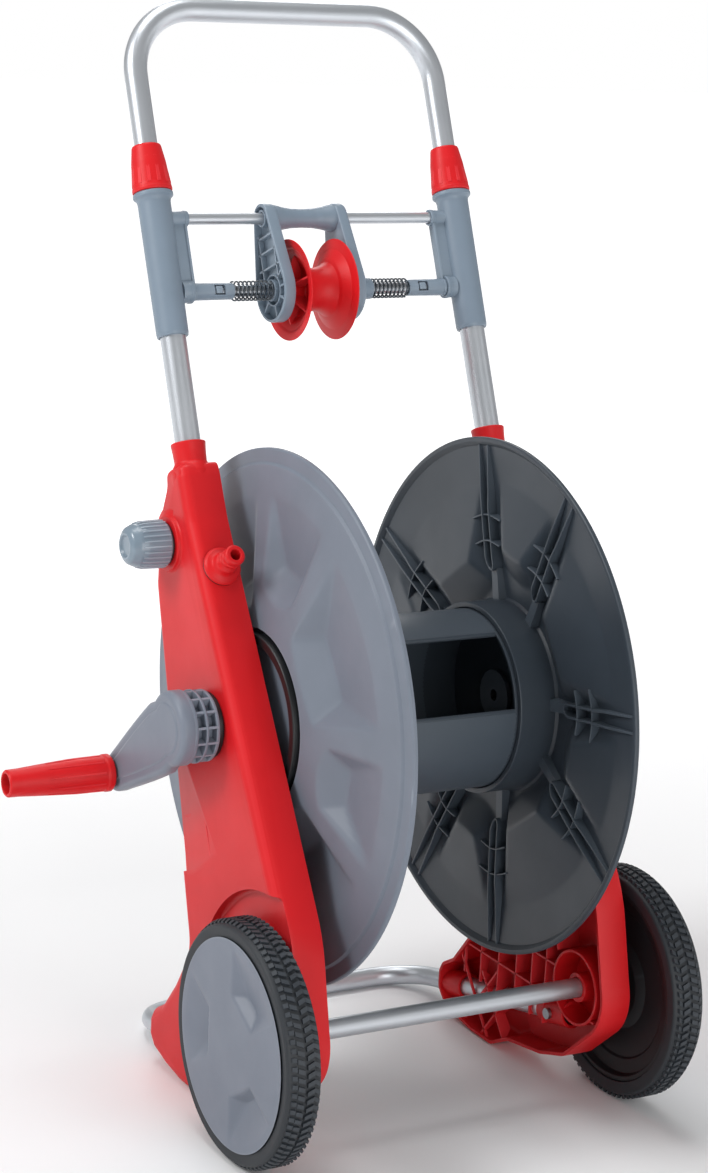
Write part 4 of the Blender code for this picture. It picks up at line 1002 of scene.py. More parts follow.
class Workshop:
    """Turns shells into finished pieces: names them, dresses them and hangs them on a body."""

    def __init__(self, layout: Layout, nodes: dict[str, Object]) -> None:
        """Keep the layout and the CAD nodes, and make an empty rack of finishes.

        Args:
            layout: where everything is.
            nodes: the CAD nodes by name.
        """
        self.layout = layout
        self.nodes = nodes
        self.trees = Trees()
        self._finishes: dict[str, Material] = {}

    def finish(self, kind: Moulded | Rubber | DrawnTube) -> Material:
        """Return a finish's material, made on first use.

        Args:
            kind: the finish.

        Returns:
            The material.
        """
        if kind.name not in self._finishes:
            self._finishes[kind.name] = kind.material()
        return self._finishes[kind.name]

    def piece(self, name: str, parts: Iterable[Shell], body: str, slot: str, kind: Moulded | Rubber | DrawnTube,
            replaces: Sequence[str] = ()) -> Object:
        """Finish a piece.

        Args:
            name: name of the piece.
            parts: its shells, from the datum.
            body: the CAD body it rides on.
            slot: the record's material slot; not used.
            kind: its finish.
            replaces: the CAD nodes it stands for.

        Returns:
            The finished object.
        """
        mesh = mesh_of(name, parts, self.layout.datum)
        mesh.materials.append(self.finish(kind))
        mesh.shade_smooth()
        mesh.set_sharp_from_angle(angle=SHARP_EDGE)
        made = object_of(name, mesh)
        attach(made, body)
        if replaces:
            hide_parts(*replaces)
        log.info("%s: %d faces on %s", name, len(mesh.polygons), body)
        return made

    def dress(self, kind: Moulded | Rubber | DrawnTube, *names: str) -> None:
        """Give carried-over CAD nodes a finish.

        Args:
            kind: the finish.
            names: the nodes.
        """
        for name in names:
            node = self.nodes[name]
            for slot in node.material_slots:
                slot.material = self.finish(kind)
            log.info("%s: carried over as %s", name, kind.name)


# ---- sub-assemblies -----------------------------------------------------------------------------
@dataclass
class Tubes:
    """The axle, the foot tube, the lower tubes and the handle."""

    shop: Workshop
    axle_radius: float = 0.00825
    foot_radius: float = 0.0087
    foot_bend: float = 0.045
    lower_radius: float = 0.0108
    handle_radius: float = 0.0098
    handle_bend: float = 0.060

    def build(self) -> None:
        """Make all five tubes."""
        place = self.shop.layout
        low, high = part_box("axle_tube")
        reach = (high.x - low.x) / 2
        axle = [Vector((-reach + 2 * reach * i / 8, 0, place.axle.y)) for i in range(9)]
        self.shop.piece("axle", [tube(axle, self.axle_radius, 0.0015)], "frame", "tube_steel", LACQUERED_TUBE,
            ["axle_tube"])
        self._foot()
        for side in Side:
            low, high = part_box(f"lower_tube_{side.word}")
            ends = [self._up(low.z, False), self._up(high.z, True)]
            line = [Vector((side.value * place.tube_x, *place.along(ends[0] + (ends[1] - ends[0]) * i / 6)))
                for i in range(7)]
            self.shop.piece(f"lower_{side.word}_tube", [tube(line, self.lower_radius, 0.0007)], "frame", "tube_steel",
                LACQUERED_TUBE, [f"lower_tube_{side.word}"])
        self._handle()

    def _up(self, height: float, top: bool) -> float:
        """Length up the tube line of an end whose box reaches a height."""
        tilt = self.lower_radius * self.shop.layout.way.x
        return (height + (-tilt if top else tilt)) / self.shop.layout.way.y

    def _bent(self, half: Line) -> list[Vector]:
        """A path and its mirror image, joined in the mid-plane."""
        return list(half) + [Vector((-p.x, p.y, p.z)) for p in reversed(half)]

    def _foot(self) -> None:
        """The U-shaped tube at the back."""
        place = self.shop.layout
        low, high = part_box("foot_tube")
        start = Vector((0.025, place.axle.y - 0.034))
        end = Vector((high.y - place.datum.y - self.foot_radius, low.z + self.foot_radius))
        way = (end - start).normalized()
        corner = (end - start).length - self.foot_bend
        half = []
        for i in range(5):
            at = start + way * corner * i / 4
            half.append(Vector((-place.foot_x, at.x, at.y)))
        for i in range(1, 17):
            angle = pi / 2 * i / 16
            at = start + way * (corner + self.foot_bend * sin(angle))
            half.append(Vector((-place.foot_x + self.foot_bend * (1 - cos(angle)), at.x, at.y)))
        self.shop.piece("foot_bow", [tube(self._bent(half), self.foot_radius, 0.0012)], "frame", "tube_steel",
            LACQUERED_TUBE, ["foot_tube"])

    def _handle(self) -> None:
        """The U-shaped handle."""
        place = self.shop.layout
        low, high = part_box("handle_tube")
        top = (high.z - self.handle_radius) / place.way.y
        end = (low.z + self.handle_radius * place.way.x) / place.way.y
        corner = top - self.handle_bend
        half = [Vector((-place.tube_x, *place.along(end + (corner - end) * i / 8))) for i in range(9)]
        for i in range(1, 25):
            angle = pi / 2 * i / 24
            x = -place.tube_x + self.handle_bend * (1 - cos(angle))
            half.append(Vector((x, *place.along(corner + self.handle_bend * sin(angle)))))
        self.shop.piece("handle_bow", [tube(self._bent(half), self.handle_radius, 0.0009)], "handle", "tube_steel",
            LACQUERED_TUBE, ["handle_tube"])


@dataclass
class Pocket:
    """A wedge-shaped pocket pressed into a round moulding, deepest on one line across it."""

    centre: float
    half: float
    near: float
    deep: float
    far: float
    depth: float
    side_slope: float
    soft: float = 0.0007

    def at(self, angle: float, radius: float) -> float:
        """Depth of the pocket at an angle and radius.

        Args:
            angle: angle about the axis, the same way round as the centre.
            radius: distance from the axis.

        Returns:
            The depth, 0 outside the pocket.
        """
        aside = (angle - self.centre + pi) % FULL_TURN - pi
        if abs(aside) > self.half * 1.6 or not self.near * 0.85 < radius < self.far * 1.06:
            return 0.0
        bow = self.near * (1 + 0.10 * (aside / self.half) ** 2)
        inner = (radius * cos(aside * 0.5) - bow) * self.depth / (self.deep - self.near)
        outer = (self.far - radius) * self.depth / (self.far - self.deep)
        side = (self.half - abs(aside)) * radius * self.side_slope
        return max(0.0, soft_least((inner, outer, side), self.soft))


def soft_least(values: Sequence[float], soft: float) -> float:
    """The least of some values, with its creases rounded over a distance.

    Args:
        values: the values.
        soft: the distance.

    Returns:
        The least value, never below 0.
    """
    least = min(values)
    total = sum(math.exp(-(value - least) / soft) for value in values)
    result = least - soft * math.log(total) * 0.9
    if result < soft:
        result = soft * math.exp((result - soft) / soft) if result > -4 * soft else 0.0
        result = result if result > 0.00003 else 0.0
    return result


@dataclass
class Wheel:
    """One wheel: tyre with tread, moulded rim and pocketed cap."""

    shop: Workshop
    side: Side
    radius: float = 0.099
    bead: float = 0.084
    inner: float = 0.1635
    outer: float = 0.1935
    lugs: int = 88

    def build(self) -> None:
        """Make the tyre, the rim and the cap."""
        place = self.shop.layout.cross(self.shop.layout.axle, self.side)
        body = f"wheel_{self.side.word}"
        self._tyre(place, body)
        self._rim(place, body)
        self._cap(place, body)
        self.shop.dress(ZINC, f"axle_washer_{self.side.word}")

    def _tyre(self, place: Matrix, body: str) -> None:
        """The carcass and its two staggered rows of lugs.

        Args:
            place: moves the finished shells.
            body: the CAD body it rides on.
        """
        carcass = self.radius - 0.0022
        low, high = self.inner, self.outer
        profile = rounded(pairs((self.bead, high - 0.0012), (self.bead + 0.0105, high),
            (carcass - 0.001, high - 0.0050), (carcass, high - 0.0080), (carcass, low + 0.0070),
            (carcass - 0.001, low + 0.0040), (self.bead + 0.0105, low), (self.bead, low + 0.0012)),
            [0.0008, 0.004, 0.004, 0.003, 0.003, 0.003, 0.003, 0.0008], 4)
        shells = [lathe(profile, 128, place)]
        pitch = FULL_TURN / self.lugs
        shells.append(self.shop.trees.copies(self._lugs(pitch, low, high), self.lugs, place,
            self.shop.finish(TYRE_RUBBER)))
        self.shop.piece(f"{self.side.word}_tyre", shells, body, "tyre", TYRE_RUBBER, [f"tyre_{self.side.word}"])

    def _lugs(self, pitch: float, low: float, high: float) -> list[Shell]:
        """One pitch of the tread: two chevron lugs and two shoulder lugs.

        Args:
            pitch: angle from one lug to the next.
            low: the lowest height.
            high: the highest height.

        Returns:
            The lugs of one pitch.
        """
        middle = (low + high) / 2
        rows = ((middle + 0.0012, middle + 0.0072, 0.00, 0.34, 0.0), (middle - 0.0072, middle - 0.0012, 0.84, 0.50,
            0.0), (middle + 0.0078, high - 0.0038, 0.50, 0.50, 0.0020),
            (middle - 0.0118, middle - 0.0078, 0.50, 0.84, 0.0012))
        shells = []
        for start, finish, from_turn, to_turn, drop in rows:
            points = []
            for height, turn, sink in ((start, from_turn, 0.0), (finish, to_turn, drop)):
                for edge in (-0.26, 0.26):
                    angle = (turn + edge) * pitch
                    for radius in (self.radius - 0.0034 - sink, self.radius - 0.0002 - sink):
                        points.append((radius * cos(angle), radius * sin(angle), height))
            shells.append(hull(points))
        return shells

    def _rim(self, place: Matrix, body: str) -> None:
        """The moulded rim with its dished back.

        Args:
            place: moves the finished shells.
            body: the CAD body it rides on.
        """
        low, high, bead = self.inner, self.outer, self.bead - 0.0003
        web = low + 0.012
        profile = rounded(pairs((bead, high - 0.0035), (bead, low + 0.0025), (bead - 0.004, low + 0.0025),
            (bead - 0.006, web - 0.004), (0.066, web - 0.003), (0.0645, web - 0.0015), (0.040, web - 0.0015),
            (0.032, web - 0.006), (0.016, web - 0.006), (0.016, low + 0.0002), (0.0086, low + 0.0002),
            (0.0086, high - 0.0072), (0.015, high - 0.0072), (0.015, web + 0.0015), (bead - 0.009, web + 0.0015),
            (bead - 0.004, high - 0.0035)), 0.0008, 3)
        self.shop.piece(f"{self.side.word}_rim", [lathe(profile, 96, place)], body, "dark_grey", WHEEL_BLACK,
            [f"wheel_rim_{self.side.word}"])

    def _cap(self, place: Matrix, body: str) -> None:
        """The cap with three pockets, each deepest next to the hub.

        Args:
            place: moves the finished shells.
            body: the CAD body it rides on.
        """
        high, edge = self.outer, self.bead + 0.001
        pockets = [Pocket(self._turn(radians(117.5 + 120 * i)), radians(29), 0.037, 0.045, 0.080, 0.0085, 0.62,
            0.0006) for i in range(3)]
        rows = [Vector((edge * i / 60, high + 0.0008 - 0.0004 * (i / 60) ** 2)) for i in range(60)]
        skirt = rounded(pairs((edge, high + 0.0004), (edge, high + 0.0001), (edge - 0.005, high + 0.0001)), 0.0, 2,
            False)
        inner = [Vector((edge - 0.005 - (edge - 0.005) * i / 30, high - 0.0018)) for i in range(31)]

        def relief(angle: float, radius: float, height: float) -> float:
            """Press the pockets into both faces of the cap."""
            return height - sum(pocket.at(angle, radius) for pocket in pockets)

        cap = lathe(rows + skirt + inner, 240, place, relief)
        self.shop.piece(f"{self.side.word}_cap", [cap], body, "arm_grey", ARM_GREY, [f"wheel_cap_{self.side.word}"])

    def _turn(self, angle: float) -> float:
        """An angle about the axle, seen from +X and from +Y up, as one about this side's Z."""
        return pi / 2 + self.side.value * angle


@dataclass
class Drum:
    """The drum: two relief discs, the windowed barrel, hub rings, and the water connector inside."""

    shop: Workshop
    radius: float = 0.220
    barrel: float = 0.076
    lip: float = 0.0985
    rim: float = 0.1045
    hub: float = 0.1215
    turn: float = radians(9.4)
    wall: float = 0.003
    columns: int = 288
    window: tuple[float, float] = (119.0, 173.5)
    windings: float = 0.082

    def build(self) -> None:
        """Make every visible piece of the drum."""
        for side in Side:
            self._disc(side)
        self._barrel()
        self._hub_rings()
        self._connector()
        self.shop.dress(ZINC, "crank_shaft", "shaft_nut", "stub_shaft")

    def _angle(self, side: Side, angle: float) -> float:
        """An angle seen from +X as one about a side's own Z."""
        return pi / 2 + side.value * angle

    def _cone(self, radius: float) -> float:
        """Plain height of the outer face at a radius."""
        return self.rim + (self.hub - self.rim) * (self.radius - radius) / (self.radius - self.barrel)

    def _pockets(self, side: Side) -> list[Pocket]:
        """The four small and four large pockets of a disc.

        Args:
            side: which side of the cart.

        Returns:
            The eight pockets.
        """
        pockets = []
        for i in range(4):
            small = self.turn + i * pi / 2
            pockets.append(Pocket(self._angle(side, small), radians(13.5), 0.101, 0.127, 0.185, 0.0125, 0.80))
            large = small + pi / 4
            pockets.append(Pocket(self._angle(side, large), radians(23), 0.0835, 0.113, 0.180, 0.0145, 0.72))
        return pockets

    def _disc(self, side: Side) -> None:
        """One disc: pockets outside, lobes and ribs inside.

        Args:
            side: which side of the cart.
        """
        pockets = self._pockets(side)
        outer, inner = self.radius, self.barrel + 0.0055
        face = [Vector((r, self._cone(r))) for r in steps_between(self.barrel, 0.2065, 74)]
        rim = rounded(pairs((0.2065, self._cone(0.2065)), (0.2085, self.rim - 0.0006),
            (outer - 0.0012, self.rim - 0.0012), (outer, self.rim - 0.0024), (outer, self.lip + 0.0006),
            (outer - 0.0008, self.lip), (outer - 0.0038, self.lip), (outer - 0.0046, self.lip + 0.0008),
            (outer - 0.0060, self.rim - 0.0040)), 0.0006, 2, False)[1:]
        back = [Vector((r, self._cone(r) - self.wall)) for r in steps_between(0.2125, inner + 0.002, 76)]
        end = self.windings
        hub = rounded(pairs((inner + 0.002, self._cone(inner) - self.wall), (inner, self.hub - self.wall - 0.003),
            (inner - 0.0004, end), (self.barrel + 0.0008, end), (self.barrel + 0.0008, self.hub - 0.0085),
            (0.018, self.hub - 0.0085), (0.018, self.hub - 0.011), (0.0123, self.hub - 0.011),
            (0.0123, self.hub - 0.002), (0.018, self.hub - 0.002), (0.018, self.hub - 0.0055),
            (self.barrel - 0.0025, self.hub - 0.0055), (self.barrel, self.hub - 0.0006)), 0.0007, 2, False)[1:-1]

        def relief(angle: float, radius: float, height: float) -> float:
            """Press the pockets through the wall: hollows outside, lobes inside.

            Args:
                angle: angle about the axis.
                radius: the radius.
                height: the plain height.

            Returns:
                The new height.
            """
            if radius < self.barrel + 0.003 or radius > 0.2075 or height < self.lip:
                return height
            return height - sum(pocket.at(angle, radius) for pocket in pockets)

        place = self.shop.layout.cross(self.shop.layout.reel, side)
        shells = [lathe(face + rim + back + hub, self.columns, place, relief)]
        unit = []
        for way in (-1, 1):
            unit += self._hairpin(self._angle(side, self.turn) + way * radians(18.4), pockets)
        # The right disc gets the drum grey darkened as painted shade.
        kind = DRUM_GREY if side is Side.LEFT else DRUM_GREY_IN_PAINTED_SHADE
        shells.append(self.shop.trees.copies(unit, 4, place, self.shop.finish(kind)))
        self.shop.piece(f"{side.word}_disc", shells, "reel", "drum_grey", kind, [f"drum_disc_{side.word}"])

    def _hairpin(self, centre: float, pockets: Sequence[Pocket]) -> list[Shell]:
        """One pair of ribs joined at their inner end, with two cross ribs and the tongue to the barrel.

        Args:
            centre: angle of its middle.
            pockets: the pockets of the disc.

        Returns:
            The shells of the ribs.
        """
        half, thick = 0.0052, 0.0018
        path = []
        for radius, spread_at in ((0.2135, 0.0066), (0.190, 0.0062), (0.172, 0.0060), (0.160, half), (0.118, half)):
            path.append(Vector((radius, spread_at)))
        for step in range(1, 6):
            angle = pi / 2 * step / 5
            path.append(Vector((0.118 - 0.011 * sin(angle), half * cos(angle))))
        line = path + [Vector((p.x, -p.y)) for p in reversed(path[:-1])]
        shells = [self._wall(line, thick, centre, pockets)]
        for radius in (0.133, 0.155):
            reach = radius * radians(8.0)
            bow = [Vector((radius - 0.0035 * abs(t), reach * t)) for t in (-1, -0.6, -0.2, 0.2, 0.6, 1)]
            shells.append(self._wall(bow, 0.0014, centre, pockets, 0.0012))
        tongue = []
        for radius, width, lift in ((0.0805, 0.0060, 0.0135), (0.1085, 0.0052, 0.0095)):
            for way in (-1, 1):
                angle = centre + way * width / radius
                top = self._cone(radius) - self.wall
                for height, wide in ((top + 0.001, 1.0), (top - lift * 0.55, 0.8)):
                    a = centre + (angle - centre) * wide
                    tongue.append((radius * cos(a), radius * sin(a), height))
        shells.append(hull(tongue))
        return shells

    def _wall(self, line: Line, thick: float, centre: float, pockets: Sequence[Pocket], drop: float = 0.0) -> Shell:
        """A thin rib along a line of (radius, aside) points on a disc's inner face.

        Args:
            line: (radius, aside) points.
            thick: thickness of the rib.
            centre: angle of its middle.
            pockets: the pockets of the disc.
            drop: how much further the crest stands back.

        Returns:
            The closed shell.
        """
        rings = []
        count = len(line)
        for i, point in enumerate(line):
            ahead = (line[min(count - 1, i + 1)] - line[max(0, i - 1)]).normalized()
            across = Vector((-ahead.y, ahead.x))
            turn = centre + point.y / point.x
            plain = self._cone(point.x) - self.wall
            floor = plain - sum(pocket.at(turn, point.x) for pocket in pockets)
            depth = min(1.0, max(0.0, (point.x - 0.104) / 0.030))
            top = plain - 0.0005 - (plain - self.lip - 0.0022) * (0.55 + 0.40 * depth) + drop
            top = min(top, floor - 0.0004)
            ring = []
            for way, height, taper in ((-1, floor + 0.0006, 1.25), (-1, top + 0.0003, 1.0), (-0.6, top, 1.0),
                    (0.6, top, 1.0), (1, top + 0.0003, 1.0), (1, floor + 0.0006, 1.25)):
                at = point + across * (way * taper * thick / 2)
                angle = centre + at.y / at.x
                ring.append(Vector((at.x * cos(angle), at.x * sin(angle), height)))
            rings.append(ring)
        return loft(rings)

    def _barrel(self) -> None:
        """The barrel: two full ends and a skin between them that leaves the window open."""
        place = self.shop.layout.cross(self.shop.layout.reel)
        reach = self.hub - 0.0088
        outer, inner = self.barrel, self.barrel - 0.0025
        shells = []
        for side in Side:
            low, high = sorted((side.value * 0.0798, side.value * reach))
            shells.append(hoop(outer, inner, low, high, place, 0.0004, 120))
        first, last = radians(self.window[1]), radians(self.window[0] + 360)
        rings = []
        for step in range(97):
            angle = first + (last - first) * step / 96
            ring = []
            for radius, x in ((outer, -0.081), (outer, 0.081), (inner, 0.081), (inner, -0.081)):
                at = self.shop.layout.reel + radius * ray(angle)
                ring.append(Vector((x, at.x, at.y)))
            rings.append(ring)
        shells.append(loft(rings))
        for edge in (first, last):
            at = self.shop.layout.reel + (outer - 0.002) * ray(edge)
            shells.append(bar(0.0022, -0.0805, 0.0805, self.shop.layout.cross(at), 0.0004, 16))
        # The barrel gets the drum grey darkened as painted shade.
        self.shop.piece("barrel", shells, "reel", "drum_grey", DRUM_GREY_IN_PAINTED_SHADE, ["drum_barrel"])

    def _hub_rings(self) -> None:
        """The black rings that run against the side frames."""
        outer = self.barrel - 0.0038
        for side in Side:
            place = self.shop.layout.cross(self.shop.layout.reel, side)
            low, high = self.hub - 0.0052, self.hub + 0.0035
            profile = rounded(pairs((outer - 0.0008, high), (outer, low), (outer - 0.010, low),
                (outer - 0.0085, high)), 0.0012, 4)
            shells = [lathe(profile, 120, place), hoop(outer - 0.0012, outer - 0.0042, low, high - 0.002, place)]
            self.shop.piece(f"{side.word}_hub_ring", shells, "reel", "black", BLACK, [f"hub_ring_{side.word}"])

    def _connector(self) -> None:
        """The elbow on the shaft's end and the winged hose connector, seen through the window."""
        place = self.shop.layout
        shaft = place.cross(place.reel, Side.LEFT)
        inner = self.hub - 0.0055
        x = (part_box("hose_connector")[0].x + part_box("hose_connector")[1].x) / 2 - place.datum.x
        way = ray(radians(146))
        out = place.toward(x, place.reel, way)
        elbow = [bar(0.0140, inner - 0.0420, inner - 0.0160, shaft, 0.0015), bar(0.0085, 0.001, 0.040, out, 0.0006),
            hoop(0.0105, 0.0080, 0.0205, 0.0235, out)]
        self.shop.piece("water_elbow", elbow, "reel", "dark_grey", BRACKET_GREY, ["outlet_elbow"])
        nut = rounded(pairs((0.0122, 0.0540), (0.0125, 0.0285), (0.0088, 0.0280), (0.0088, 0.0405), (0.0060, 0.0405),
            (0.0060, 0.0540)), 0.0008, 3)
        rib = hull([(r * cos(a), r * sin(a), h) for r in (0.0115, 0.0131) for a in (-0.06, 0.06)
            for h in (0.0300, 0.0520)])
        wings = [block((s * 0.0155 - 0.0034, -0.0019, 0.0300), (s * 0.0155 + 0.0034, 0.0019, 0.0380), out, 0.0008)
            for s in (-1, 1)]
        parts = [lathe(nut, 48, out), *wings, self.shop.trees.copies([rib], 18, out, self.shop.finish(BRACKET_GREY))]
        self.shop.piece("hose_end_connector", parts, "reel", "dark_grey", BRACKET_GREY, ["hose_connector"])


def steps_between(first: float, last: float, count: int) -> list[float]:
    """Evenly spaced values, both ends in."""
    return [first + (last - first) * i / (count - 1) for i in range(count)]


@dataclass
class SideFrame:
    """One moulded side frame: a soft-edged shell, open and ribbed towards the drum."""

    shop: Workshop
    side: Side
    wall: float = 0.003
    edge: float = 0.009
    arch: float = 0.118
    arch_depth: float = 0.0075

    def __post_init__(self) -> None:
        """Take the two faces from the layout."""
        self.low = self.shop.layout.frame_in
        self.high = self.shop.layout.frame_out

    def _outline(self) -> Profile:
        """Side view with its corners filleted.

        Returns:
            The (y, z) outline.
        """
        place = self.shop.layout
        axle, top = place.axle, place.collar_top
        heel = 0.2107
        heel_z = 0.0240
        shoulder = 0.0175
        rows: list[tuple[Vector, float]] = []
        rows += [(point, 0.0) for point in arc(axle, 0.044, 232, 160, 14)]
        rows += [(axle + Vector((-0.0235, 0.087)), 0.12)]
        rows += [(place.along(top - 0.066, 0.0195), 0.06), (place.along(top - 0.030, shoulder), 0.010)]
        rows += [(place.along(top - 0.019, shoulder - 0.002), 0.011),
            (place.along(top - 0.019, 0.002 - shoulder), 0.011)]
        rows += [(place.along(top - 0.032, -shoulder - 0.001), 0.012), (place.along(top - 0.052, -0.0375), 0.016),
            (place.along(top - 0.105, -0.0618), 0.03)]
        rows += [(axle + Vector((0.142, 0.025)), 0.03), (axle + Vector((0.166, -0.014)), 0.03)]
        rows += [(Vector((heel - 0.022, heel_z + 0.033)), 0.012), (Vector((heel - 0.005, heel_z + 0.023)), 0.009),
            (Vector((heel, heel_z + 0.014)), 0.008), (Vector((heel, heel_z - 0.002)), 0.009),
            (Vector((heel - 0.010, heel_z - 0.0125)), 0.010)]
        rows += [(Vector((0.1757, 0.0050)), 0.012), (Vector((0.1507, 0.0015)), 0.008),
            (Vector((0.1187, 0.0015)), 0.010), (Vector((0.0927, 0.0150)), 0.012)]
        rows += [(axle + Vector((0.042, -0.076)), 0.014), (axle + Vector((0.006, -0.064)), 0.02)]
        return rounded([row[0] for row in rows], [row[1] for row in rows], 6, True, 0.0)

    def build(self) -> None:
        """Carve the shell and add everything that is moulded on it."""
        place = self.shop.layout
        outline = self._outline()
        arch_floor = self.high - self.arch_depth
        mould = self._mould(outline, arch_floor)
        if self.side is Side.RIGHT:
            mould.corners = [Vector((-c.x, c.y, c.z)) for c in mould.corners]
        mesh = carved(f"frame_{self.side.word}", [mould], self._bores())
        hub = place.cross(place.axle, self.side)
        shells = [shell_of(mesh), *self._ribs(outline, arch_floor), *self._bosses(hub)]
        self.shop.piece(f"{self.side.word}_frame", shells, "frame", "red", RED, [f"{self.side.word}_side_frame"])

    def _mould(self, outline: Profile, arch_floor: float) -> Shell:
        """The shell that both frames share, drawn on the left side.

        Args:
            outline: the closed outline.
            arch_floor: height of the wheel arch.

        Returns:
            The shell, on the left side.
        """
        sign, high, wall = Side.LEFT.value, self.high, self.wall
        hub = self.shop.layout.cross(self.shop.layout.axle, Side.LEFT)
        body = [slab(outline, self.low, high, self.edge, 0.0006, sign, 6)]
        arch = lathe(rounded(pairs((0, high + 0.02), (self.arch + 0.002, high + 0.02), (self.arch, arch_floor),
            (0, arch_floor)), [0, 0, 0.003, 0], 4, False), 120, hub)
        behind = lathe(pairs((0, high + 0.03), (self.arch + wall, high + 0.03), (self.arch + wall, arch_floor - wall),
            (0, arch_floor - wall)), 96, hub)
        hollow = slab(offset(outline, wall), self.low - 0.01, high - wall, 0.004, 0.0, sign, 3)
        adds = [[shell_of(carved("backing", body, [], [], [[tool]]))] for tool in (behind, self._facet(sign, wall))]
        shell = shell_of(carved("shell", body, [[hollow]]))
        return shell_of(carved("mould", [shell], [[arch], [self._step(sign)], [self._facet(sign, 0.0)]], adds))

    def _step(self, sign: int) -> Shell:
        """What is cut away above the curved step under the shoulder.

        Args:
            sign: -1 on the left, 1 on the right.

        Returns:
            The tool.
        """
        place, top = self.shop.layout, self.shop.layout.collar_top
        curve = [(-0.022, 0.030), (-0.027, 0.0165), (-0.030, 0.0060), (-0.034, 0.0000), (-0.042, -0.0035),
            (-0.054, -0.0060), (-0.062, -0.0110), (-0.066, -0.0190), (-0.0655, -0.0300), (-0.060, -0.060)]
        line = rounded([place.along(top + a, b) for a, b in curve], 0.02, 4, False, 0.0)
        far = [place.along(top + 0.06, -0.060), place.along(top + 0.06, 0.030)]
        return slab(line + far, self.high - 0.0017, self.high + 0.02, 0.0, 0.0, sign, 2)

    def _facet(self, sign: int, under: float) -> Shell:
        """The flat cut on the lower back corner, or that cut moved inwards by the wall it leaves.

        Args:
            sign: -1 on the left, 1 on the right.
            under: how far under the skin.

        Returns:
            The tool.
        """
        skin, out, deep = self.high - under, self.high + 0.02, self.high - under - 0.0085
        grow = 1 + under / 0.040
        points = []
        for y, z, x in ((0.2020, 0.322, skin), (0.0985, 0.2225, skin), (0.1330, 0.1960, skin), (0.2300, 0.3200, deep),
                (0.1900, 0.1900, deep), (0.1600, 0.1850, deep + 0.003)):
            spot = (0.165 + (y - 0.165) * grow, 0.245 + (z - 0.245) * grow)
            points += [(sign * x, *spot), (sign * out, *spot)]
        return hull(points)

    def _bores(self) -> list[list[Shell]]:
        """Tools for the holes of the axle, the bush, the tube and the knob.

        Returns:
            The tools, one in each list.
        """
        place = self.shop.layout
        reach = self.high + (0.02 if self.side is Side.LEFT else -0.004)
        tools = [bar(0.0086, 0.1, 0.2, place.cross(place.axle, self.side)),
            bar(0.0174, 0.1, reach, place.cross(place.reel, self.side)),
            bar(0.0112, place.collar_top - 0.0605, place.collar_top + 0.02, place.upright(self.side))]
        if self.side is Side.LEFT:
            tools.append(bar(0.0145, 0.1, self.high + 0.01, place.cross(place.knob, self.side)))
        return [[tool] for tool in tools]

    def _bosses(self, hub: Matrix) -> list[Shell]:
        """The tube housing and collar, the axle rings, the bearing boss, two sleeves on the foot tube, and the knob
        seat.

        Args:
            hub: place of the axle.

        Returns:
            The shells.
        """
        place, sign = self.shop.layout, self.side.value
        up = place.upright(self.side)
        top = place.collar_top
        bore = 0.0111
        collar = rounded(pairs((0.0146, top), (0.0138, top - 0.008), (0.0134, top - 0.017), (0.0150, top - 0.0195),
            (0.0174, top - 0.0250), (0.0174, top - 0.060), (bore, top - 0.060), (bore, top)),
            [0.0010, 0.01, 0.003, 0.006, 0.008, 0.001, 0.0004, 0.0006], 5)
        shells = [lathe(collar, 64, up)]
        arch_floor = self.high - self.arch_depth
        shells += [hoop(0.0325, 0.0300, self.low + 0.0015, arch_floor - 0.001, hub),
            hoop(0.0125, 0.0086, self.low + 0.0040, arch_floor - 0.001, hub),
            hoop(0.0300, 0.0086, arch_floor - 0.0035, self.high - 0.0002, hub, 0.0012, 64)]
        bearing = place.cross(place.reel, self.side)
        shells.append(hoop(0.0210, 0.0174, self.high - 0.0150, self.high - 0.0010, bearing))
        start = Vector((0.025, place.axle.y - 0.034))
        end = Vector((0.2807, 0.0087))
        foot = place.toward(sign * place.foot_x, start, (end - start).normalized())
        shells.append(hoop(0.0118, 0.0090, 0.158, 0.1895, foot, 0.0006, 40))
        shells.append(hoop(0.0118, 0.0090, -0.010, 0.030, foot, 0.0006, 40))
        if self.side is Side.LEFT:
            knob = place.cross(place.knob, self.side)
            seat = rounded(pairs((0.0228, self.high + 0.0035), (0.0232, self.high + 0.0010),
                (0.0262, self.high - 0.0012), (0.0310, self.high - 0.0026), (0.0150, self.high - 0.0030),
                (0.0150, self.high + 0.0035)), [0.0012, 0.004, 0.008, 0.0, 0.0, 0.0006], 5)
            shells.append(lathe(seat, 72, knob))
        return shells

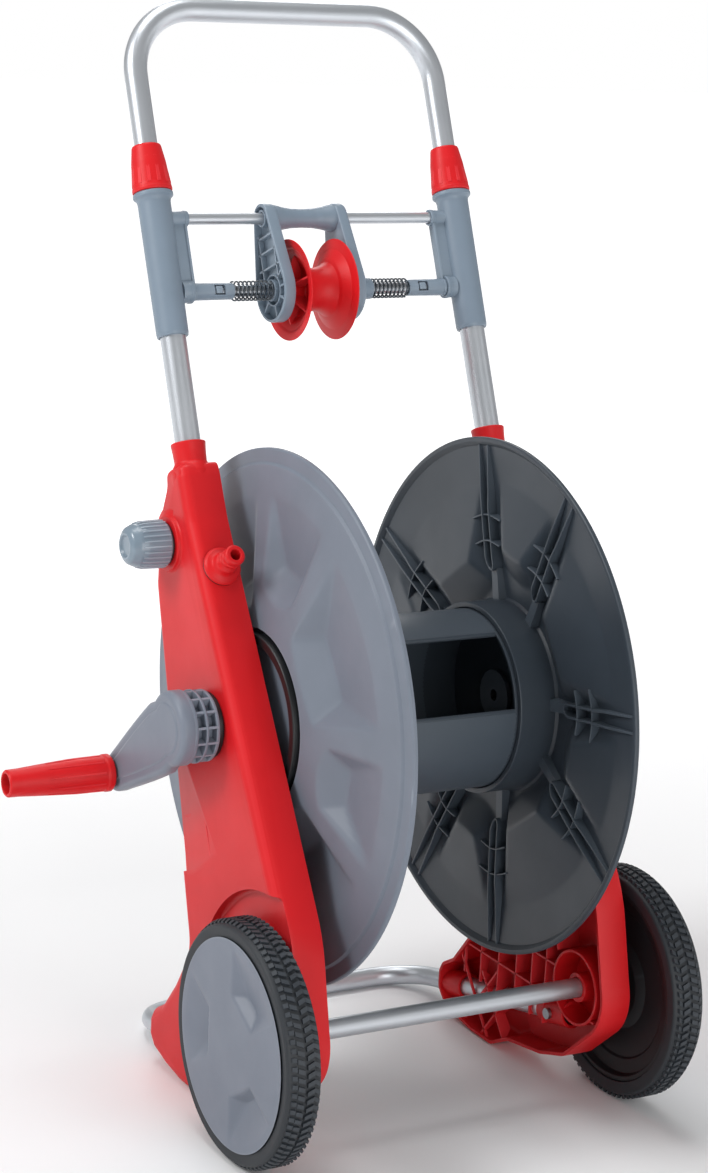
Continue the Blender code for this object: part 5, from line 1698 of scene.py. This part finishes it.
    def _ribs(self, outline: Profile, arch_floor: float) -> list[Shell]:
        """The moulded ribs inside, trimmed to the outline and to the arch.

        Args:
            outline: the closed outline.
            arch_floor: height of the wheel arch.

        Returns:
            The shells.
        """
        place = self.shop.layout
        shells = []
        up = Vector((0, 1))
        lean = Vector((sin(radians(24)), cos(radians(24))))
        flat = Vector((1, 0))
        slope = Vector((cos(0.9), sin(0.9)))
        fall = Vector((cos(0.9), -sin(0.9)))
        axle = place.axle
        ribs = [(Vector((y, 0.05)), up, 0.0, 0.100) for y in (0.045, 0.066, 0.090, 0.118, 0.146, 0.172)]
        ribs += [(Vector((0.0, z)), flat, -0.03, 0.20) for z in (0.078, 0.108)]
        ribs += [(Vector((0.150, 0.030)), slope, -0.05, 0.05), (Vector((0.150, 0.030)), fall, -0.05, 0.05),
            (Vector((0.118, 0.030)), slope, -0.04, 0.04), (Vector((0.118, 0.030)), fall, -0.04, 0.04)]
        ribs += [(axle + Vector((0.045, 0.06)), lean, -0.04, 0.30), (axle + Vector((0.085, 0.06)), lean, -0.04, 0.30)]
        ribs += [(axle.lerp(place.reel, s), Vector((lean.y, -lean.x)), -0.2, 0.2) for s in (0.30, 0.52, 0.74, 1.24, 1.5)]
        inner_line = offset(outline, self.wall - 0.0006)
        for start, way, first, last in ribs:
            for low, high in inside_spans(inner_line, start, way, first, last, place.axle, 0.034):
                inner = inside_circle(start, way, low, high, axle, self.arch + self.wall)
                for a, b, floor in inner:
                    limit = arch_floor if floor else self.high
                    top = limit - 0.001
                    shells.append(self._rib(start + way * a, start + way * b, way, self.low + 0.0022, top))
        return shells

    def _rib(self, first: Vector, last: Vector, way: Vector, low: float, high: float) -> Shell:
        """One straight rib between two (y, z) points, its far corners cut back under the rounded edge.

        Args:
            first: one end.
            last: the other end.
            way: direction of the line.
            low: distance of its inner edge.
            high: distance of its outer edge.

        Returns:
            The closed shell.
        """
        across = Vector((-way.y, way.x)) * 0.0010
        points = []
        back = min(0.0075, (last - first).length * 0.45)
        for at, step in ((first, 0.0), (last, 0.0), (first, back), (last, -back)):
            for hand, x in ((-0.8, low), (0.8, low), (1.2, high), (-1.2, high)):
                spot = at + way * step + across * hand
                beyond = max(0.0, (spot.x - 0.2020) * 0.8771 - (spot.y - 0.3220) * 0.4803)
                under = self.high - 0.0010 - beyond / 3 - (self.edge - 0.0015 if step == 0 else 0.0)
                top = min(x, max(low + 0.002, under))
                points.append((self.side.value * top, spot.x, spot.y))
        return hull(points)


def inside_spans(outline: Line, start: Vector, way: Vector, first: float, last: float, hole: Vector,
        hole_radius: float) -> list[tuple[float, float]]:
    """The stretches of a line that are inside an outline and outside a round hole.

    Args:
        outline: the closed outline.
        start: a point on the line.
        way: its direction.
        first: where the wanted stretch starts.
        last: where it ends.
        hole: centre of the hole.
        hole_radius: radius of the hole.

    Returns:
        Pairs of distances from the start.
    """
    crossings = []
    count = len(outline)
    for i in range(count):
        a, b = outline[i], outline[(i + 1) % count]
        side_a, side_b = way.cross(a - start), way.cross(b - start)
        if (side_a > 0) != (side_b > 0):
            at = a.lerp(b, side_a / (side_a - side_b))
            crossings.append((at - start).dot(way))
    crossings.sort()
    spans = [(max(first, a), min(last, b)) for a, b in zip(crossings[::2], crossings[1::2], strict=False)]
    spans = [(a, b) for a, b in spans if b - a > 0.006]
    result = []
    middle = (hole - start).dot(way)
    off = abs(way.cross(hole - start))
    reach = math.sqrt(max(0.0, (hole_radius - 0.002) ** 2 - off**2))
    for a, b in spans:
        if reach == 0 or middle + reach < a or middle - reach > b:
            result.append((a, b))
            continue
        result += [(x, y) for x, y in ((a, middle - reach), (middle + reach, b)) if y - x > 0.004]
    return result


def inside_circle(start: Vector, way: Vector, first: float, last: float, centre: Vector,
        radius: float) -> list[tuple[float, float, bool]]:
    """Split a stretch of a line where it crosses a circle; each bit says whether it is inside.

    Args:
        start: a point on the line.
        way: direction of the line.
        first: where it starts.
        last: where it ends.
        centre: centre of the circle.
        radius: its radius.

    Returns:
        Start, end and whether it is inside, for each bit.
    """
    middle = (centre - start).dot(way)
    off = abs(way.cross(centre - start))
    if off >= radius:
        return [(first, last, False)]
    reach = math.sqrt(radius**2 - off**2)
    marks = [first, *(m for m in (middle - reach, middle + reach) if first < m < last), last]
    bits = []
    for a, b in zip(marks, marks[1:], strict=False):
        bits.append((a, b, abs((a + b) / 2 - middle) < reach))
    return bits


@dataclass
class HandleBracket:
    """A bracket on a lower tube, with its clamp nut and collet."""

    shop: Workshop
    side: Side
    length: float = 0.119

    def build(self) -> None:
        """Make the bracket, the nut and the collet."""
        place = self.shop.layout
        up = place.upright(self.side)
        rod_at, spindle_at = place.length_of(place.rod), place.length_of(place.spindle)
        top = rod_at + 0.0185
        self._bracket(up, top, spindle_at, rod_at)
        self._nut(up, top + 0.0038)
        word = self.side.word
        seat = top + 0.0038 + 0.0183
        collet = [hoop(0.0127, 0.0101, seat, seat + 0.0170, up, 0.0006, 40)]
        self.shop.piece(f"{word}_collet", collet, "frame", "black", BLACK, [f"collet_{word}"])

    def _bracket(self, up: Matrix, top: float, spindle_at: float, rod_at: float) -> None:
        """The sleeve with its flange, and the web that carries both rods.

        Args:
            up: place of the lower tube.
            top: length up to the upper end.
            spindle_at: length up to the spindle.
            rod_at: length up to the rod.
        """
        place, sign = self.shop.layout, self.side.value
        foot = top - self.length
        profile = rounded(pairs((0.0128, top + 0.0215), (0.0128, top + 0.0036), (0.0158, top + 0.0036),
            (0.0169, top + 0.0026), (0.0169, top), (0.0146, top - 0.0022), (0.0139, top - 0.005),
            (0.0135, foot + 0.003), (0.0129, foot), (0.0111, foot), (0.0111, top - 0.0037), (0.0101, top - 0.0037),
            (0.0101, top + 0.0215)), [0.0006, 0.0004, 0.0012, 0.0010, 0.0010, 0.003, 0.004, 0.004, 0.0008, 0.0004,
            0.0003, 0.0003, 0.0004], 4)
        shells = [lathe(profile, 72, up)]
        reach = place.tube_x - 0.0125
        for centre, outer, end, lip in ((place.rod, 0.0065, 0.1172, 0.0070), (place.spindle, 0.0094, 0.1220, 0.0098)):
            across = place.cross(centre, self.side)
            line = rounded(pairs((outer - 0.0004, reach), (outer, end + 0.0040), (lip, end + 0.0032), (lip, end),
                (0.0052, end), (0.0052, reach)), [0, 0.001, 0.0005, 0.0007, 0.0004, 0], 3)
            shells.append(lathe(line, 48, across))
        span = sorted((sign * (0.1195 - place.tube_x), sign * (reach + 0.001 - place.tube_x)))
        shells.append(block((span[0], -0.0029, spindle_at + 0.004), (span[1], 0.0029, rod_at - 0.002), up, 0.0010))
        lip_x = sorted((sign * (0.1190 - place.tube_x), sign * (0.1215 - place.tube_x)))
        shells.append(block((lip_x[0], -0.0042, spindle_at + 0.006), (lip_x[1], 0.0042, rod_at - 0.004), up, 0.0008))
        name = f"bracket_{self.side.word}"
        self.shop.piece(f"{self.side.word}_handle_bracket", shells, "frame", "dark_grey", BRACKET_GREY, [name])

    def _nut(self, up: Matrix, foot: float) -> None:
        """The tapered clamp nut with its grip flutes.

        Args:
            up: place of the lower tube.
            foot: length up to the lower end.
        """
        top = foot + 0.0402
        profile = rounded(pairs((0.0119, top), (0.0125, top - 0.0015), (0.0146, top - 0.0150),
            (0.0160, foot + 0.0070), (0.0166, foot + 0.0040), (0.0160, foot), (0.0131, foot), (0.0131, foot + 0.0190),
            (0.0101, top - 0.0045), (0.0101, top)), [0.0008, 0.002, 0.01, 0.006, 0.002, 0.0010, 0.0004, 0.0004,
            0.0004, 0.0006], 4)
        flute = ridge([(foot + 0.0065, 0.0157, 0.17, 0.09), (foot + 0.0290, 0.01325, 0.17, 0.09)], 0.0008)
        skirt = hoop(0.0168, 0.0135, foot + 0.0001, foot + 0.0042, up, 0.0012, 72)
        shells = [lathe(profile, 72, up), skirt, self.shop.trees.copies([flute], 12, up, self.shop.finish(RED))]
        word = self.side.word
        self.shop.piece(f"{word}_clamp_nut", shells, f"clamp_{word}", "red", RED, [f"clamp_nut_{word}"])


@dataclass
class HoseGuide:
    """The rods, sleeves and springs, the sliding yoke and its roller."""

    shop: Workshop
    rod_radius: float = 0.0049
    half: float = 0.0395
    plate: float = 0.0105
    foot_radius: float = 0.027
    head_radius: float = 0.0125

    def build(self) -> None:
        """Make every piece of the guide."""
        place = self.shop.layout
        roller_low, roller_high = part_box("guide_roller")
        self.middle = (roller_low.x + roller_high.x) / 2 - place.datum.x
        low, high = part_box("guide_rod")
        reach = (high.x - low.x) / 2
        for name, centre, kind, node in (("upper_rod", place.rod, LACQUERED_TUBE, "guide_rod"),
                ("lower_rod", place.spindle, BRIGHT_ROD, "spindle_rod")):
            rod = bar(self.rod_radius, -reach, reach, place.cross(centre), 0.0008, 40)
            self.shop.piece(name, [rod], "frame", "tube_steel", kind, [node])
        for side in Side:
            self._sleeve(side)
            self._spring(side)
        self._yoke()
        self._roller()

    def _sleeve(self, side: Side) -> None:
        """The sleeve on the spindle, with the catch window on its front.

        Args:
            side: which side of the cart.
        """
        place = self.shop.layout
        across = place.cross(place.spindle, side)
        profile = rounded(pairs((0.0073, 0.1216), (0.0070, 0.0845), (0.0052, 0.0845), (0.0052, 0.1216)), 0.0005, 3)
        middle = side.value * (0.0982 - place.tube_x)
        spindle_at = place.length_of(place.spindle)
        up = place.upright(side)
        window = block((middle - 0.0050, -0.02, spindle_at - 0.0042), (middle + 0.0050, -0.0030, spindle_at + 0.0042),
            up, 0.0006)
        mesh = carved(f"sleeve_{side.word}", [lathe(profile, 56, across)], [[window]])
        catch = block((middle - 0.0036, -0.0066, spindle_at - 0.0030),
            (middle + 0.0026, -0.0046, spindle_at + 0.0030), up, 0.0005)
        shells = [shell_of(mesh), catch, hoop(0.0078, 0.0060, 0.1195, 0.1216, across)]
        self.shop.piece(f"{side.word}_spring_sleeve", shells, "frame", "dark_grey", BRACKET_GREY,
            [f"spindle_sleeve_{side.word}"])

    def _spring(self, side: Side) -> None:
        """A coil spring on the spindle.

        Args:
            side: which side of the cart.
        """
        place = self.shop.layout
        across = place.cross(place.spindle, side) @ Matrix.Translation((0, 0, 0.0488))
        coil = self.shop.trees.spring(9.0, 0.0079, 0.0350, 0.00078, across, self.shop.finish(SPRING_STEEL))
        made = self.shop.piece(f"{side.word}_return_spring", [coil], "frame", "steel", SPRING_STEEL,
            [f"guide_spring_{side.word}"])
        made.parent = None
        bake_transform(made)

    def _teardrop(self, grow: float = 0.0) -> Profile:
        """Side view of a yoke plate.

        Args:
            grow: added all round.

        Returns:
            The (y, z) outline.
        """
        place = self.shop.layout
        big, small = self.foot_radius + grow, self.head_radius + grow
        lean = math.degrees(math.asin((big - small) / (place.rod - place.spindle).length))
        up = math.degrees(math.atan2(place.way.y, place.way.x))
        outline = arc(place.spindle, big, up + 90 - lean, up + 270 + lean, 40)
        return outline + arc(place.rod, small, up - 90 + lean, up + 90 - lean, 24)

    def _yoke(self) -> None:
        """The two plates, the waisted bar between them, and the ribs in the hollow of the left one."""
        place, middle = self.shop.layout, self.middle
        outer, inner = self.half, self.half - self.plate
        outline = self._teardrop()
        left = slab(outline, -middle + inner, -middle + outer, 0.0012, 0.0012, -1, 4)
        right = slab(outline, middle + inner, middle + outer, 0.0030, 0.0012, 1, 4)
        face = -middle + outer
        hollow = slab(self._teardrop(-0.0024), face - 0.0070, face + 0.01, 0.0, 0.0006, -1, 2)
        bore = [bar(self.rod_radius + 0.0003, -0.2, 0.2, place.cross(c)) for c in (place.rod, place.spindle)]
        plates = carved("yoke_plates", [left, right], [[hollow], [bore[0]], [bore[1]]])
        reach = inner + 0.004
        points = []
        for share, size in ((0, 0), (0, 0.0120), (0.10, 0.0116), (0.20, 0.0098), (0.34, 0.0084), (0.5, 0.0080),
                (0.66, 0.0084), (0.80, 0.0098), (0.90, 0.0116), (1, 0.0120), (1, 0)):
            points.append(Vector((size, middle + reach * (1 - 2 * share))))
        waisted = rounded(points, 0.02, 5, False, 0.0)
        shells = [shell_of(plates), lathe(waisted, 56, place.cross(place.rod))]
        left_hub, right_hub = place.cross(place.spindle, Side.LEFT), place.cross(place.spindle)
        shells += [hoop(0.0092, 0.0052, face - 0.0085, face, left_hub),
            hoop(0.0135, 0.0120, face - 0.008, face - 0.0022, left_hub),
            hoop(0.0090, 0.0052, middle + outer - 0.001, 0.0480, right_hub, 0.0008)]
        shells += [hoop(0.0074, 0.0052, face - 0.0085, face - 0.001, place.cross(place.rod, Side.LEFT))]
        shells += self._hollow_ribs(face)
        self.shop.piece("yoke", shells, "guide_carriage", "dark_grey", BRACKET_GREY, ["guide_yoke"])

    def _hollow_ribs(self, face: float) -> list[Shell]:
        """Ribs across the hollow of the left plate.

        Args:
            face: distance of the outer face.

        Returns:
            The shells.
        """
        place = self.shop.layout
        shells = []
        low, high = face - 0.0078, face - 0.0024
        way = place.way
        centre = place.spindle
        chords = [(centre + place.front * 0.0125, way, 0.008, 0.050),
            (centre - place.front * 0.0125, way, 0.008, 0.050), (centre, place.front, 0.0128, 0.0262),
            (centre, -place.front, 0.0128, 0.0262), (centre, -way, 0.0128, 0.0262)]
        for step in (0.020, 0.034, 0.047):
            chords.append((centre + way * step, place.front, -0.022 + step * 0.16, 0.022 - step * 0.16))
        for angle in (35, 145, 215, 325):
            a = radians(angle)
            chords.append((centre, place.front * cos(a) + way * sin(a), 0.0128, 0.0262))
        for start, direction, first, last in chords:
            across = Vector((-direction.y, direction.x)) * 0.0008
            points = []
            for at in (start + direction * first, start + direction * last):
                for hand in (-1, 1):
                    for x in (low, high):
                        spot = at + across * hand
                        points.append((-x, spot.x, spot.y))
            shells.append(hull(points))
        return shells

    def _roller(self) -> None:
        """The waisted roller with its thin rims and hollow ends."""
        place, rim, big, waist = self.shop.layout, 0.0228, 0.0427, 0.0193
        groove = []
        for step in range(1, 24):
            angle = pi * step / 24
            depth = sin(angle) ** 0.78
            groove.append((big - 0.0009 - (big - waist) * depth, (rim - 0.0018) * cos(angle)))
        ends = [(0.036, -rim + 0.0012), (0.026, -0.0152), (waist - 0.004, -0.0105), (0.0098, -0.0100),
            (0.0090, -0.0283), (0.0052, -0.0283)]
        line = [(big, rim), (big, rim - 0.0010), *groove, (big, -rim + 0.0010), (big, -rim), *ends]
        line += [(r, -h) for r, h in reversed(ends)]
        radii = [0.0008, 0.0008] + [0.0] * len(groove) + [0.0008, 0.0008] + [0.003, 0.006, 0.003, 0.002, 0.0006, 0.0003]
        radii += [0.0003, 0.0006, 0.002, 0.003, 0.006, 0.003]
        profile = rounded(pairs(*line), radii, 4, True, 0.0003)
        across = place.cross(place.spindle) @ Matrix.Translation((0, 0, self.middle))
        ribs = hull([(r, w, h) for w in (-0.0008, 0.0008) for r, h in ((0.0090, 0.0265), (0.0090, 0.0112),
            (0.0300, 0.0185), (0.0170, 0.0115), (0.0150, 0.0240))])
        flip = Matrix.Rotation(pi, 4, "X")
        red = self.shop.finish(RED)
        shells = [lathe(profile, 120, across), self.shop.trees.copies([ribs], 6, across, red),
            self.shop.trees.copies([ribs], 6, across @ flip, red)]
        self.shop.piece("roller", shells, "roller", "red", RED, ["guide_roller"])


@dataclass
class WaterFittings:
    """The inlet spigot with its seal, and the flow knob with its seal."""

    shop: Workshop

    def build(self) -> None:
        """Make the visible fittings and dress the hidden ones."""
        place = self.shop.layout
        self._spigot()
        knob = place.cross(place.knob, Side.LEFT)
        self._knob(knob)
        back = place.frame_out + 0.0035
        seal = [hoop(0.0178, 0.0084, back + 0.0003, back + 0.0018, knob, 0.0004)]
        self.shop.piece("knob_ring", seal, "frame", "black", BLACK, ["knob_seal"])
        self.shop.dress(HOSE_RUBBER, "feed_hose", "inlet_hose")
        self.shop.dress(BRACKET_GREY, "water_swivel", "valve_body")
        self.shop.dress(ZINC, "valve_stem")

    def _spigot(self) -> None:
        """The stepped spigot on the front edge."""
        place = self.shop.layout
        edge = place.along(place.collar_top - 0.066, 0.0195) - (place.axle + Vector((-0.022, 0.087)))
        normal = Vector((-edge.y, edge.x)).normalized()
        low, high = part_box("inlet_seal")
        seat = Vector(((low.y + high.y) / 2 - place.datum.y, (low.z + high.z) / 2)) - normal * 0.0007
        x = (low.x + high.x) / 2 - place.datum.x
        out = place.toward(x, seat, normal)
        profile = rounded(pairs((0.0072, 0.0298), (0.0085, 0.0286), (0.0085, 0.0252), (0.0076, 0.0244),
            (0.0076, 0.0228), (0.0085, 0.0220), (0.0085, 0.0196), (0.0062, 0.0178), (0.0062, 0.0150),
            (0.0092, 0.0126), (0.0100, 0.0068), (0.0142, 0.0052), (0.0160, 0.0034), (0.0160, 0.0014),
            (0.0085, 0.0014), (0.0085, -0.0120), (0.0045, -0.0120), (0.0045, 0.0298)),
            [0.0008, 0.001, 0.0006, 0.0004, 0.0004, 0.0006, 0.0008, 0.001, 0.0015, 0.0015, 0.003, 0.0012, 0.0012,
            0.0004, 0, 0, 0, 0.0006], 4)
        self.shop.piece("water_inlet", [lathe(profile, 64, out)], "frame", "red", RED, ["inlet_spigot"])
        seal = [hoop(0.0158, 0.0088, 0.0002, 0.0012, out, 0.0003)]
        self.shop.piece("inlet_ring", seal, "frame", "black", BLACK, ["inlet_seal"])

    def _knob(self, place: Matrix) -> None:
        """The domed knob with a dished end and a ring of flutes.

        Args:
            place: place of the knob axis.
        """
        low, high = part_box("flow_knob")
        middle = self.shop.layout.datum.x
        back, tip = middle - high.x, middle - low.x
        profile = rounded(pairs((0, tip - 0.0022), (0.0078, tip - 0.0020), (0.0092, tip - 0.0002), (0.0108, tip),
            (0.0150, tip - 0.0024), (0.0176, tip - 0.0080), (0.0186, tip - 0.0140), (0.0193, back + 0.0012),
            (0.0185, back), (0.0062, back), (0.0062, back + 0.0132), (0, back + 0.0132)),
            [0, 0.0012, 0.0012, 0.002, 0.005, 0.008, 0.01, 0.0008, 0.0006, 0.0004, 0.0004, 0], 5, False)
        rows = ((back + 0.0016, 0.0192), (tip - 0.0135, 0.01865), (tip - 0.0100, 0.0178))
        flute = ridge([(height, skin, 0.062, 0.026) for height, skin in rows], 0.0009)
        grey = self.shop.finish(KNOB_GREY)
        shells = [lathe(profile, 96, place), self.shop.trees.copies([flute], 26, place, grey)]
        self.shop.piece("regulator_knob", shells, "flow_control", "arm_grey", KNOB_GREY, ["flow_knob"])


@dataclass
class Crank:
    """The crank arm with its open hub, the bush behind it, and the turning grip."""

    shop: Workshop
    hub_radius: float = 0.0305
    thickness: float = 0.012

    def build(self) -> None:
        """Make the arm, the grip and the bush, and dress the metal parts."""
        place = self.shop.layout
        low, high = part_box("crank_arm")
        self.back = place.datum.x - high.x
        self.face = place.datum.x - low.x
        axis = place.cross(place.reel, Side.LEFT)
        self._arm(axis)
        self._grip()
        inner = place.frame_out
        bush = rounded(pairs((0.0268, self.back - 0.0008), (0.0270, inner + 0.0003), (0.0170, inner + 0.0003),
            (0.0170, inner - 0.0150), (0.0123, inner - 0.0150), (0.0123, self.back - 0.0008)), 0.0007, 3)
        self.shop.piece("bearing_bush", [lathe(bush, 72, axis)], "frame", "black", BLACK, ["crank_bush"])
        self.shop.dress(BLACK, "drum_bush")
        self.shop.dress(ZINC, "crank_screw", "grip_pin", "foot_screw_left", "foot_screw_right")

    def _arm(self, axis: Matrix) -> None:
        """The domed leaf, and the hub as three rings joined by ribs.

        Args:
            axis: place of the crank axis.
        """
        back, face, big = self.back, self.face, self.hub_radius
        shells = [hoop(big - 0.0095, 0.0123, back, face - 0.008, axis, 0.0006, 72),
            hoop(big - 0.0012, 0.0123, back, back + 0.0030, axis, 0.0008, 96),
            hoop(big - 0.0006, 0.0190, back + 0.0102, back + 0.0124, axis, 0.0005, 96),
            hoop(big, 0.0190, back + 0.0196, back + 0.0226, axis, 0.0006, 96)]
        rib = hull([(r, w, h) for r, half in ((0.0195, 0.0010), (big - 0.0012, 0.0010)) for w in (-half, half)
            for h in (back + 0.001, back + 0.021)])
        grey = self.shop.finish(ARM_GREY)
        shells.append(self.shop.trees.copies([rib], 14, axis, grey))
        shells.append(self._leaf(face - self.thickness, face, 0.0, 0.0052))
        shells.append(self._leaf(face - 0.0028, face + 0.0009, -0.0085, 0.0026))
        plug = rounded(pairs((0, face - 0.0100), (big - 0.0010, face - 0.0100), (big - 0.0004, face - self.thickness),
            (big - 0.0016, face - self.thickness), (0.0123, face - self.thickness - 0.001),
            (0, face - self.thickness - 0.001)), 0.0004, 2, False)
        shells.append(lathe(plug, 72, axis))
        self.shop.piece("crank", shells, "reel", "arm_grey", ARM_GREY, ["crank_arm"])

    def _leaf(self, low: float, high: float, grow: float, edge: float) -> Shell:
        """The leaf-shaped plate from the hub to the grip.

        Args:
            low: distance of its inner face.
            high: distance of its outer face.
            grow: added all round.
            edge: rounding of its outer edge.

        Returns:
            The closed shell.
        """
        place = self.shop.layout
        way = (place.grip - place.reel).normalized()
        aside = Vector((-way.y, way.x))
        start = math.degrees(math.atan2(way.y, way.x))
        root = arc(place.reel, self.hub_radius + grow, start + 66, start + 294, 40)
        tip = arc(place.grip, 0.0165 + grow, start - 84, start + 84, 24)
        reach = (place.grip - place.reel).length

        def flank(hand: int) -> Profile:
            """Points down one side of the leaf, fullest a third of the way along.

            Args:
                hand: which flank, -1 or 1.

            Returns:
                The points, from the hub outwards.
            """
            line = []
            for share in (0.20, 0.30, 0.40, 0.50, 0.60, 0.70, 0.80, 0.90):
                width = 0.0302 - 0.0137 * max(0.0, share - 0.16) ** 1.25 / 0.80
                line.append(place.reel + way * reach * share + aside * hand * (width + grow))
            return line

        outline = root + flank(-1) + tip + list(reversed(flank(1)))
        return slab(outline, low, high, edge, 0.0008, -1, 5)

    def _grip(self) -> None:
        """The tapered grip with an open end, a base bead and shallow flutes."""
        place = self.shop.layout
        low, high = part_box("crank_grip")
        base, tip = place.datum.x - high.x, place.datum.x - low.x
        axis = place.cross(place.grip, Side.LEFT)
        profile = rounded(pairs((0.0148, base), (0.0158, base + 0.0012), (0.0158, base + 0.0050),
            (0.0152, base + 0.0070), (0.0150, base + 0.030), (0.0132, base + 0.060), (0.0116, tip - 0.0100),
            (0.0114, tip - 0.0012), (0.0104, tip), (0.0086, tip), (0.0079, tip - 0.0110), (0.0043, tip - 0.0110),
            (0.0043, base)), [0.0006, 0.0008, 0.001, 0.002, 0.06, 0.06, 0.03, 0.0012, 0.001, 0.0006, 0.0006, 0.0003,
            0.0003], 5)
        rows = ((base + 0.009, 0.0151, 0.105), (base + 0.034, 0.01475, 0.07), (base + 0.058, 0.01325, 0.01))
        flute = ridge([(height, skin, half, half * 0.4) for height, skin, half in rows], 0.0006)
        red = self.shop.finish(RED)
        shells = [lathe(profile, 80, axis), self.shop.trees.copies([flute], 10, axis, red)]
        self.shop.piece("turning_grip", shells, "crank_grip_body", "red", RED, ["crank_grip"])


# ---- studio -------------------------------------------------------------------------------------
@dataclass
class Studio:
    """Pale floor, soft lights and the camera."""

    layout: Layout
    azimuth: float = radians(-30.037)
    elevation: float = radians(13.61)
    roll: float = radians(3.208)
    lens: float = 85.47
    stand: tuple[float, float, float] = (-1.14339, -1.79587, 0.96462)

    def build(self) -> None:
        """Set up everything that is not the object."""
        self._camera()
        self._floor()
        self._lights()

    def _camera(self) -> None:
        """The camera, slightly rolled."""
        flat = cos(self.elevation)
        ahead = Vector((-sin(self.azimuth) * flat, cos(self.azimuth) * flat, -sin(self.elevation)))
        right = ahead.cross(Vector((0, 0, 1))).normalized()
        up = right.cross(ahead)
        turned_right = right * cos(self.roll) + up * sin(self.roll)
        turned_up = up * cos(self.roll) - right * sin(self.roll)
        data = bpy.data.cameras.new("camera")
        data.sensor_fit = "VERTICAL"
        data.sensor_height = 36.0
        data.lens = self.lens
        camera = bpy.data.objects.new("camera", data)
        bpy.context.scene.collection.objects.link(camera)
        place = Matrix((turned_right, turned_up, -ahead)).transposed().to_4x4()
        place.translation = Vector(self.stand) + self.layout.datum
        camera.matrix_world = place
        bpy.context.scene.camera = camera

    def _floor(self) -> None:
        """A plain pale floor that fades into the backdrop."""
        made, tree, shader, where = begun("pale_matt_floor")
        shader.inputs["Base Color"].default_value = linear("#F4F4F5")
        shader.inputs["Roughness"].default_value = 0.9
        shader.inputs["Emission Color"].default_value = linear("#FFFFFF")
        away = add_node(tree, "ShaderNodeVectorMath", {"operation": "LENGTH"}, {0: where})
        glow = add_node(tree, "ShaderNodeMapRange", None, {0: away.outputs["Value"], 1: 0.5, 2: 3.0, 3: 0.0, 4: 0.85})
        tree.links.new(glow.outputs[0], shader.inputs["Emission Strength"])
        size = 12.0
        mesh = bpy.data.meshes.new("floor")
        mesh.from_pydata([(-size, -size, 0), (size, -size, 0), (size, size, 0), (-size, size, 0)], [], [(0, 1, 2, 3)])
        mesh.materials.append(made)
        object_of("floor", mesh)

    def _lights(self) -> None:
        """A large key from the left front, a fill from the right, a top box and an even backdrop."""
        aim = self.layout.datum + Vector((0, 0.12, 0.42))
        lamps = (("key", (-2.1, 0.3, 1.6), 0.9, 35.0), ("front", (-0.1, -2.4, 0.3), 1.5, 21.0),
            ("fill", (1.9, -1.5, 0.7), 1.2, 4.0), ("top", (-0.2, 0.5, 2.2), 1.2, 20.0),
            ("back", (0.8, 2.0, 1.2), 1.0, 10.0))
        for name, offset_by, size, power in lamps:
            data = bpy.data.lights.new(name, "AREA")
            data.shape = "SQUARE"
            data.size = size
            data.energy = power
            lamp = bpy.data.objects.new(name, data)
            bpy.context.scene.collection.objects.link(lamp)
            lamp.location = aim + Vector(offset_by)
            lamp.rotation_euler = (aim - lamp.location).to_track_quat("-Z", "Y").to_euler()
        world = bpy.data.worlds.new("backdrop")
        world.use_nodes = True
        sky = world.node_tree.nodes["Background"]
        sky.inputs["Color"].default_value = linear("#FFFFFF")
        seen = add_node(world.node_tree, "ShaderNodeLightPath").outputs["Is Camera Ray"]
        world.node_tree.links.new(spread(world.node_tree, seen, 0.33, 1.0), sky.inputs["Strength"])
        bpy.context.scene.world = world
        bpy.context.scene.view_settings.view_transform = "Standard"


def main() -> None:
    """Build the cart's looks in order."""
    logging.basicConfig(level=logging.INFO, format="%(message)s")
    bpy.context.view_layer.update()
    layout = Layout()
    shop = Workshop(layout, frame["nodes"])
    Tubes(shop).build()
    for side in Side:
        Wheel(shop, side).build()
        SideFrame(shop, side).build()
        HandleBracket(shop, side).build()
    Drum(shop).build()
    HoseGuide(shop).build()
    WaterFittings(shop).build()
    Crank(shop).build()
    Studio(layout).build()


if __name__ == "__main__":
    main()
